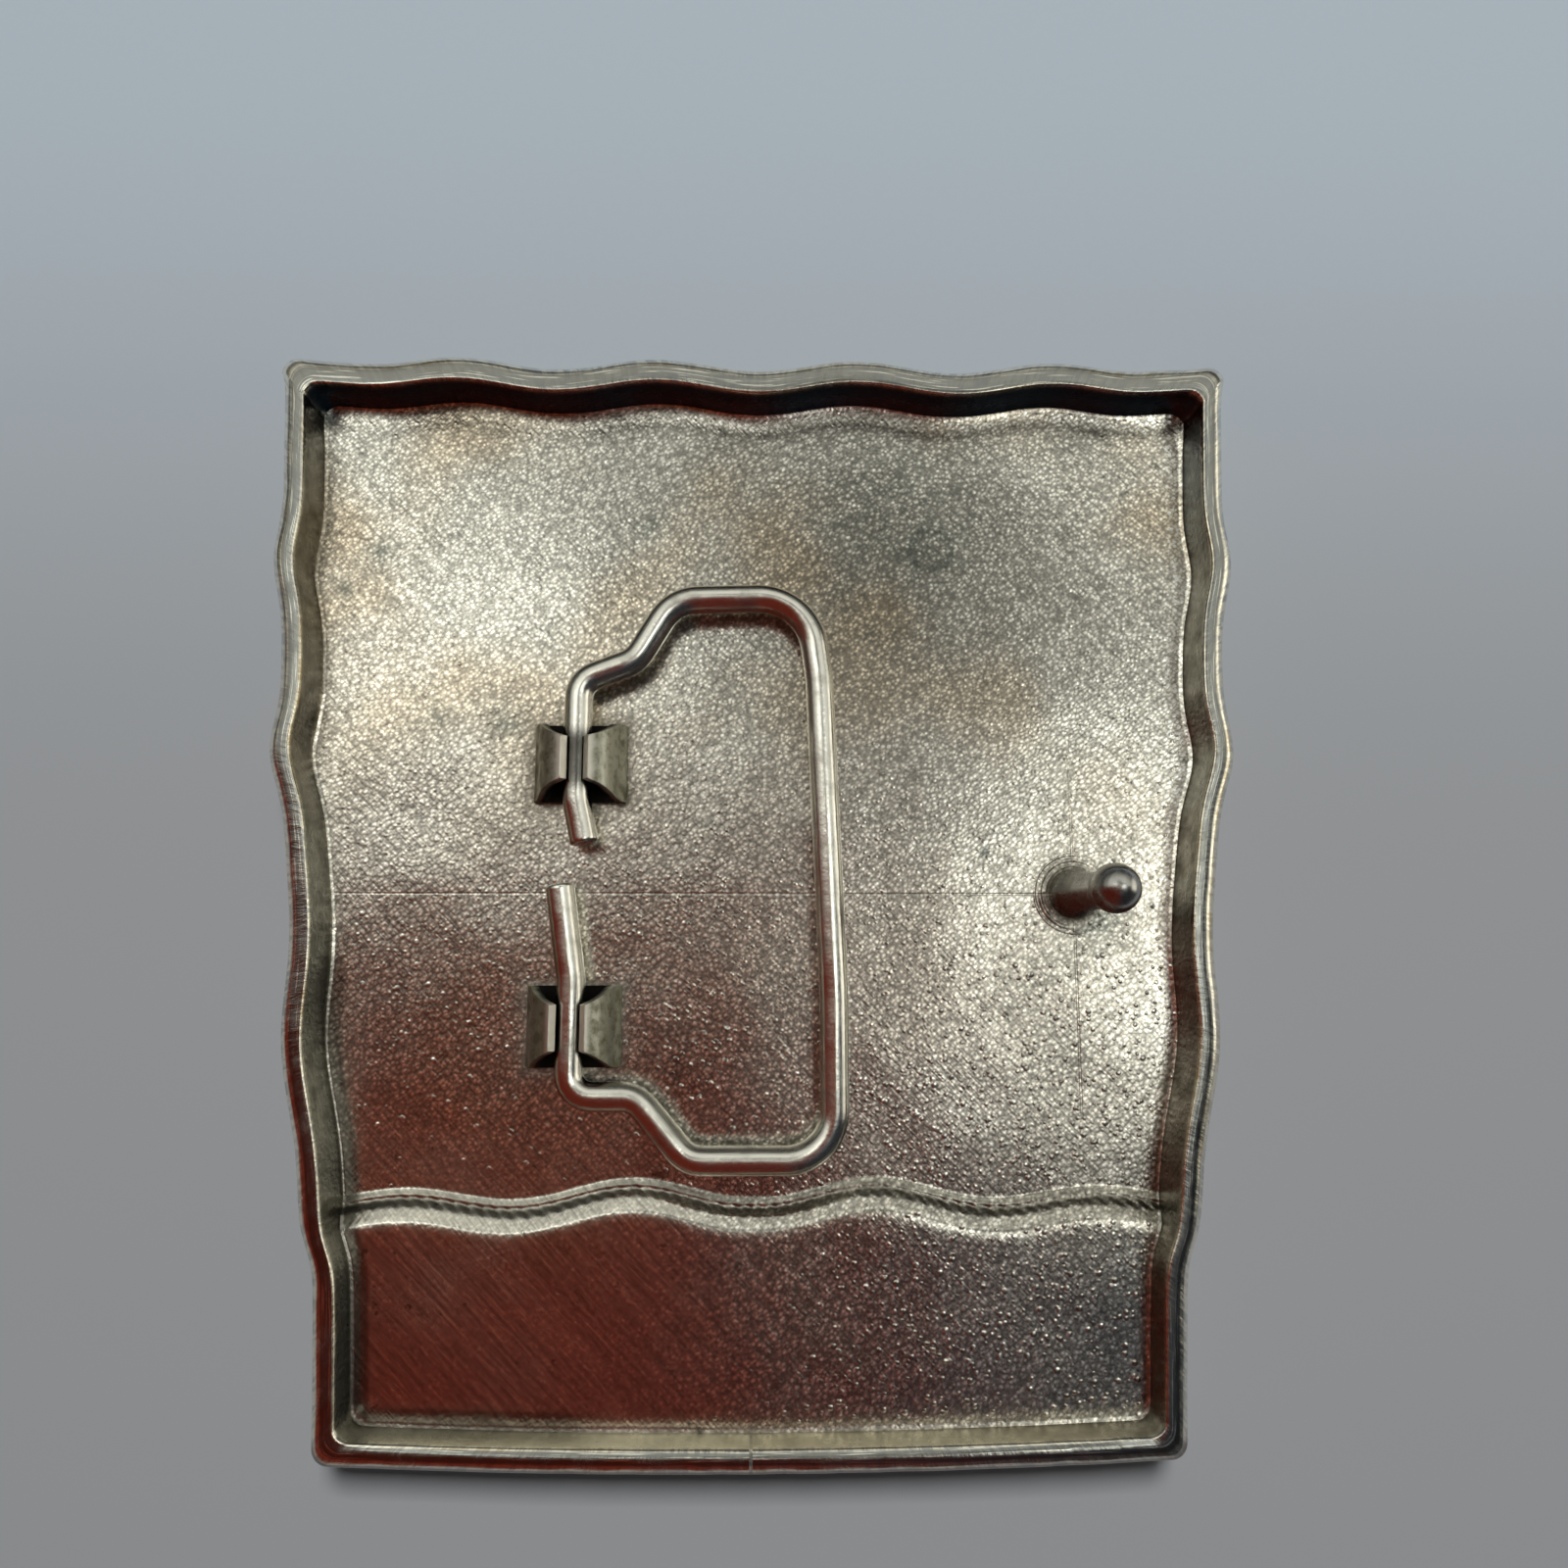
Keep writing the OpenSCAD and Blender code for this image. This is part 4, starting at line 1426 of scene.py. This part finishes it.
@dataclass
class Bail:
    """Wire loop that swings in the keepers."""

    hinge: tuple
    reach: float = 19.6
    radius: float = 1.095
    sides: int = 32
    grip: float = KEEPERS[0][1] - STUD[1]
    finish: DrawnWire = DrawnWire("drawn_wire", (0.80, 0.78, 0.72), 0.16)

    def bends(self) -> Array:
        """Corners of the wire: distance from the hinge line, from the hardware line, radius.

        Returns:
            Rows of the three, from the upper end to the lower end.
        """
        reach = self.reach
        return np.array([
            (0.75, 3.6, 0), (0, 7, 3), (0, 16.25, 1.9), (4.3, 17.9, 2.4), (7.2, 22.8, 3.4),
            (reach - 1.9, 23.1, 4.4), (reach - 1, 16.5, 12), (reach, -8, 40), (reach, -19.6, 3.6),
            (8.8, -19.6, 2.4), (4.9, -15.05, 2), (0, -15.05, 1.7), (0, -6.6, 3), (-1.05, 0.55, 0)])

    def route(self) -> Array:
        """Middle of the wire, a point about every 0.4 mm.

        Each corner is an arc of its radius that touches the lengths on both sides.

        Returns:
            Distance from the hinge line and from the hardware line at each point.
        """
        bends = self.bends()
        places = [bends[:1, :2]]
        for before, here, after in zip(bends, bends[1:], bends[2:]):
            a, b = here[:2] - before[:2], after[:2] - here[:2]
            a, b = a / np.hypot(*a), b / np.hypot(*b)
            turn = math.atan2(a[0] * b[1] - a[1] * b[0], float(a @ b))
            start = here[:2] - a * here[2] * abs(math.tan(turn / 2))
            centre = start + math.copysign(here[2], turn) * np.array([-a[1], a[0]])
            angle = np.linspace(0, turn, max(3, int(abs(turn) * here[2] / 0.3)))[:, None]
            out = start - centre
            places.append(centre + out * np.cos(angle) + np.array([-out[1], out[0]]) * np.sin(angle))
        places.append(bends[-1:, :2])
        corners = np.concatenate(places)
        travel = np.concatenate([[0], np.cumsum(np.hypot(*np.diff(corners, axis=0).T))])
        steps = np.linspace(0, travel[-1], int(travel[-1] / 0.4))
        return np.stack([np.interp(steps, travel, corners[:, k]) for k in (0, 1)], -1)

    def build(self) -> bpy.types.Object:
        """Carry a circle along the route, its radius drawn in over the last 0.25 mm.

        Returns:
            The new object, settled on its body.
        """
        route = self.route()
        travel = np.concatenate([[0], np.cumsum(np.hypot(*np.diff(route, axis=0).T))])
        ends = np.array([0.0, 0.06, 0.14, 0.25])
        inside = travel[(travel > 0.3) & (travel < travel[-1] - 0.3)]
        steps = np.concatenate([ends, inside, travel[-1] - ends[::-1]])
        route = np.stack([np.interp(steps, travel, route[:, k]) for k in (0, 1)], -1)
        along = np.gradient(route, axis=0)
        along = along / np.hypot(*along.T)[:, None]
        n = len(route)
        flat = np.zeros((n, 1))
        middle = np.concatenate([route, flat], 1) + np.array(self.hinge)
        across = np.concatenate([-along[:, 1:], along[:, :1], flat], 1)
        up = np.tile([0.0, 0.0, 1.0], (n, 1))
        close = np.minimum(steps, steps[-1] - steps)
        radius = np.interp(close, (0, 0.06, 0.14, 0.25), (0.72, 0.86, 0.97, 1.0)) * self.radius
        angle = np.linspace(0, 2 * np.pi, self.sides, endpoint=False)
        dent = 1 - 0.012 * np.abs(lattice_noise(steps[:, None] + 0 * angle, angle[None] * 1.2, 1.9, 71))
        circle = np.stack([np.cos(angle), np.sin(angle)], -1)
        section = circle[None] * (radius[:, None] * dent)[..., None]
        points, faces = sweep_tube(middle, across, up, section)
        piece = mesh_object("bail_wire", points, faces, sharp=50)
        Plate.keep_run(piece, np.repeat(steps[:, None], self.sides, 1), section[..., 0], section[..., 1])
        # Painted shade on the wire where the upper keeper's ears cover it.
        grip = np.exp(-((route[:, 1] - self.grip) / 2.3) ** 8) * (route[:, 0] < 1)
        store(piece, "shade", np.repeat(0.85 * grip[:, None], self.sides, 1))
        piece.data.materials.append(self.finish.build())
        return settle(piece, Body.BAIL, Slot.WIRE, "bail")


# ---------------------------------------------------------------- light, floor and camera


@dataclass
class Studio:
    """Pale table, soft light from above and behind, and the camera."""

    eye: tuple = (0.44, -7.05, 93.7)
    tilt: float = 9.0516
    yaw: float = 1.1192
    lens: float = 27.045

    def camera(self) -> None:
        """Set the camera close over the plate, tipped back toward its top edge."""
        tilt, yaw = math.radians(self.tilt), math.radians(self.yaw)
        ahead = Vector((math.sin(yaw), math.sin(tilt), -math.cos(tilt) * math.cos(yaw))).normalized()
        right = ahead.cross(Vector((0, 1, 0))).normalized()
        up = right.cross(ahead)
        data = bpy.data.cameras.new("camera")
        data.lens = self.lens
        data.sensor_width = 36.0
        data.clip_start = 0.002
        camera = bpy.data.objects.new("camera", data)
        turn = Matrix((right, up, -ahead)).transposed()
        camera.matrix_world = Matrix.Translation(Vector(self.eye) * MM) @ turn.to_4x4()
        bpy.context.scene.collection.objects.link(camera)
        bpy.context.scene.camera = camera

    def table(self) -> None:
        """Lay the pale blue-grey table under the plate, painted lighter and bluer toward the top, where more
        light falls.
        """
        mesh = bpy.data.meshes.new("table")
        mesh.from_pydata([(-3, -3, 0), (3, -3, 0), (3, 3, 0), (-3, 3, 0)], [], [(0, 1, 2, 3)])
        table = bpy.data.objects.new("table", mesh)
        bpy.context.scene.collection.objects.link(table)
        material = bpy.data.materials.new("pale_table")
        material.use_nodes = True
        graph = Graph(material.node_tree)
        shader = material.node_tree.nodes["Principled BSDF"]
        place = graph.millimetres()
        # Painted light: the table's colour grows lighter toward the top.
        back = graph.rise(graph.axis(place, 1), 0, 75)
        colour = graph.mix(back, (0.250, 0.257, 0.264), (0.325, 0.369, 0.405))
        fibre = graph.noise(place, 1.5, 3.0)
        graph.put(shader.inputs["Base Color"], graph.mix(graph.rise(fibre, 0.3, 0.7, 0, 0.04), colour,
                                                         (0.25, 0.27, 0.29)))
        shader.inputs["Roughness"].default_value = 0.75
        mesh.materials.append(material)

    def lamp(self, name: str, place: tuple, size: float, watts: float) -> None:
        """Hang a square soft lamp that faces the plate.

        Args:
            name: Name of the lamp.
            place: Where it hangs, in metres.
            size: Width of its face in metres.
            watts: Its power.
        """
        data = bpy.data.lights.new(name, "AREA")
        data.energy = watts
        data.size = size
        lamp = bpy.data.objects.new(name, data)
        lamp.location = place
        lamp.rotation_euler = (-Vector(place)).to_track_quat("-Z", "Y").to_euler()
        lamp.visible_glossy = False
        bpy.context.scene.collection.objects.link(lamp)

    @staticmethod
    def card(graph: Graph, across: object, up: object, left: float, right: float, below: float,
             above: float) -> bpy.types.NodeSocket:
        """Soft bright card, 1 in its middle and falling off as a bell with its own width each way.

        Args:
            graph: Tree being built.
            across: Slope across from the card's middle.
            up: Slope upwards from its middle.
            left: Width of the bell on its left.
            right: Width on its right.
            below: Height of the bell below the middle.
            above: Height above it.

        Returns:
            exp(-(across / width)^2 - (up / height)^2).
        """
        total = 0.0
        for value, low, high in ((across, left, right), (up, below, above)):
            part = graph.times(graph.math("MAXIMUM", value, 0.0), 1 / high)
            part = graph.math("MULTIPLY_ADD", graph.math("MINIMUM", value, 0.0), 1 / low, part)
            total = graph.math("MULTIPLY_ADD", part, part, total)
        return graph.math("EXPONENT", graph.times(total, -1.0))

    def overhead(self, graph: Graph, u: object, v: object) -> bpy.types.NodeSocket:
        """Light that level metal sees, by the slopes of the ray across and up the table.

        A wide warm card hangs beyond the upper left and a leaning one beyond the right, with
        a dim gap between them. Below the middle the room falls to red-brown on the left and
        to blue-grey on the right.

        Args:
            graph: Tree being built.
            u: Slope of the ray across the table.
            v: Slope of the ray up the table.

        Returns:
            The light's colour.
        """
        lean = graph.times(graph.math("MAXIMUM", graph.minus(v, 0.21), 0.0), 0.7)
        across = graph.plus(graph.plus(u, 0.19), lean)
        left = self.card(graph, across, graph.minus(v, 0.21), 0.9, 0.15, 0.060, 0.22)
        lean = graph.times(graph.math("MAXIMUM", graph.minus(v, 0.03), 0.0), 0.9)
        lean = graph.math("MULTIPLY_ADD", graph.math("MINIMUM", v, 0.0), -0.35, lean)
        across = graph.minus(graph.minus(u, 0.225), lean)
        right = self.card(graph, across, graph.minus(v, 0.02), 0.082, 0.33, 0.105, 0.185)
        corner = self.card(graph, graph.minus(u, 0.36), graph.minus(v, 0.45),
                           0.09, 0.3, 0.09, 0.2)
        gap = self.card(graph, graph.minus(u, 0.08), graph.minus(v, 0.37),
                        0.17, 0.14, 0.05, 0.06)
        level = graph.rise(v, -0.05, 0.17, 0.0, 0.31)
        level = graph.plus(level, graph.rise(v, 0.40, 0.50, 0.0, 0.33))
        for card, strength in ((left, 1.78), (right, 3.0), (corner, 0.8), (gap, -0.40)):
            level = graph.math("MULTIPLY_ADD", card, strength, level)
        level = graph.math("MAXIMUM", level, 0.0)
        warm = graph.mix(graph.rise(level, 0.05, 0.5), (1.0, 0.92, 0.78), (0.98, 1.0, 0.92))
        lit = graph.mix(1.0, warm, graph.grey(level), "MULTIPLY")
        dark = graph.mix(graph.rise(u, 0.02, 0.24), EMBER, (0.070, 0.077, 0.088))
        ember = self.card(graph, graph.plus(u, 0.2), graph.plus(v, 0.08),
                          0.15, 0.12, 0.09, 0.11)
        dark = graph.mix(graph.times(ember, 0.9), dark, (0.165, 0.042, 0.012))
        dark = graph.mix(graph.rise(v, -0.05, 0.25), dark, (0.0, 0.0, 0.0))
        return graph.mix(1.0, lit, dark, "ADD")

    def world(self) -> None:
        """Even pale surroundings, which metal sees as soft cards over a darker room."""
        world = bpy.data.worlds.new("studio")
        bpy.context.scene.world = world
        world.use_nodes = True
        world.cycles.sampling_method = "NONE"
        world.node_tree.nodes.clear()
        graph = Graph(world.node_tree)
        x, y, z = graph.add("SeparateXYZ", {0: graph.add("TexCoord").outputs["Generated"]}).outputs
        height = graph.math("MAXIMUM", z, 0.12)
        glow = self.overhead(graph, graph.math("DIVIDE", x, height), graph.math("DIVIDE", y, height))
        level = graph.rise(z, 0.22, 0.8, 0.06, 0.86)
        side = graph.add("CombineXYZ", {0: level, 1: level, 2: graph.times(level, 0.9)}).outputs[0]
        low = graph.mix(graph.rise(x, -0.1, 0.3), EMBER, (0.026, 0.028, 0.032))
        side = graph.mix(graph.rise(y, -0.02, 0.20), low, side)
        window = graph.times(graph.rise(x, 0.80, 0.93), graph.rise(z, 0.02, 0.15))
        window = graph.times(window, graph.rise(y, -0.30, 0.0))
        side = graph.mix(window, side, (1.5, 1.45, 1.25))
        glow = graph.mix(graph.rise(z, 0.76, 0.90, 1, 0), glow, side)
        path = graph.add("LightPath")
        seen = graph.add("Background", {"Color": glow, "Strength": 1.0})
        plain = graph.add("Background", {"Color": (0.80, 0.84, 0.88), "Strength": 0.11})
        both = graph.add("MixShader", {0: path.outputs["Is Glossy Ray"], 1: plain.outputs[0],
                                       2: seen.outputs[0]})
        out = graph.add("OutputWorld")
        graph.put(out.inputs["Surface"], both.outputs[0])

    def build(self) -> None:
        """Set up the table, the light and the camera."""
        self.camera()
        self.table()
        self.world()
        self.lamp("soft_lamp", (0.03, 0.40, 0.73), 0.22, 7.9)
        bpy.context.scene.view_settings.view_transform = "Standard"


def main() -> None:
    """Build the buckle's pieces in order, then the studio."""
    logging.basicConfig(level=logging.INFO, format="%(message)s")
    shape = PlateShape.from_frame()
    joint = frame["joints"][0]["pos_m"]
    hinge = tuple(value / MM for value in joint)
    Plate(shape).build()
    for name, gap in (("upper_keeper", 1.1), ("lower_keeper", 1.6)):
        low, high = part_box(name)
        Keeper(name + "_strip", hinge[0], (low.y + high.y) / 2 / MM, shape.upper_z, gap).build()
    HookStud(*STUD, shape.upper_z).build()
    Bail(hinge).build()
    Studio().build()


if __name__ == "__main__":
    main()
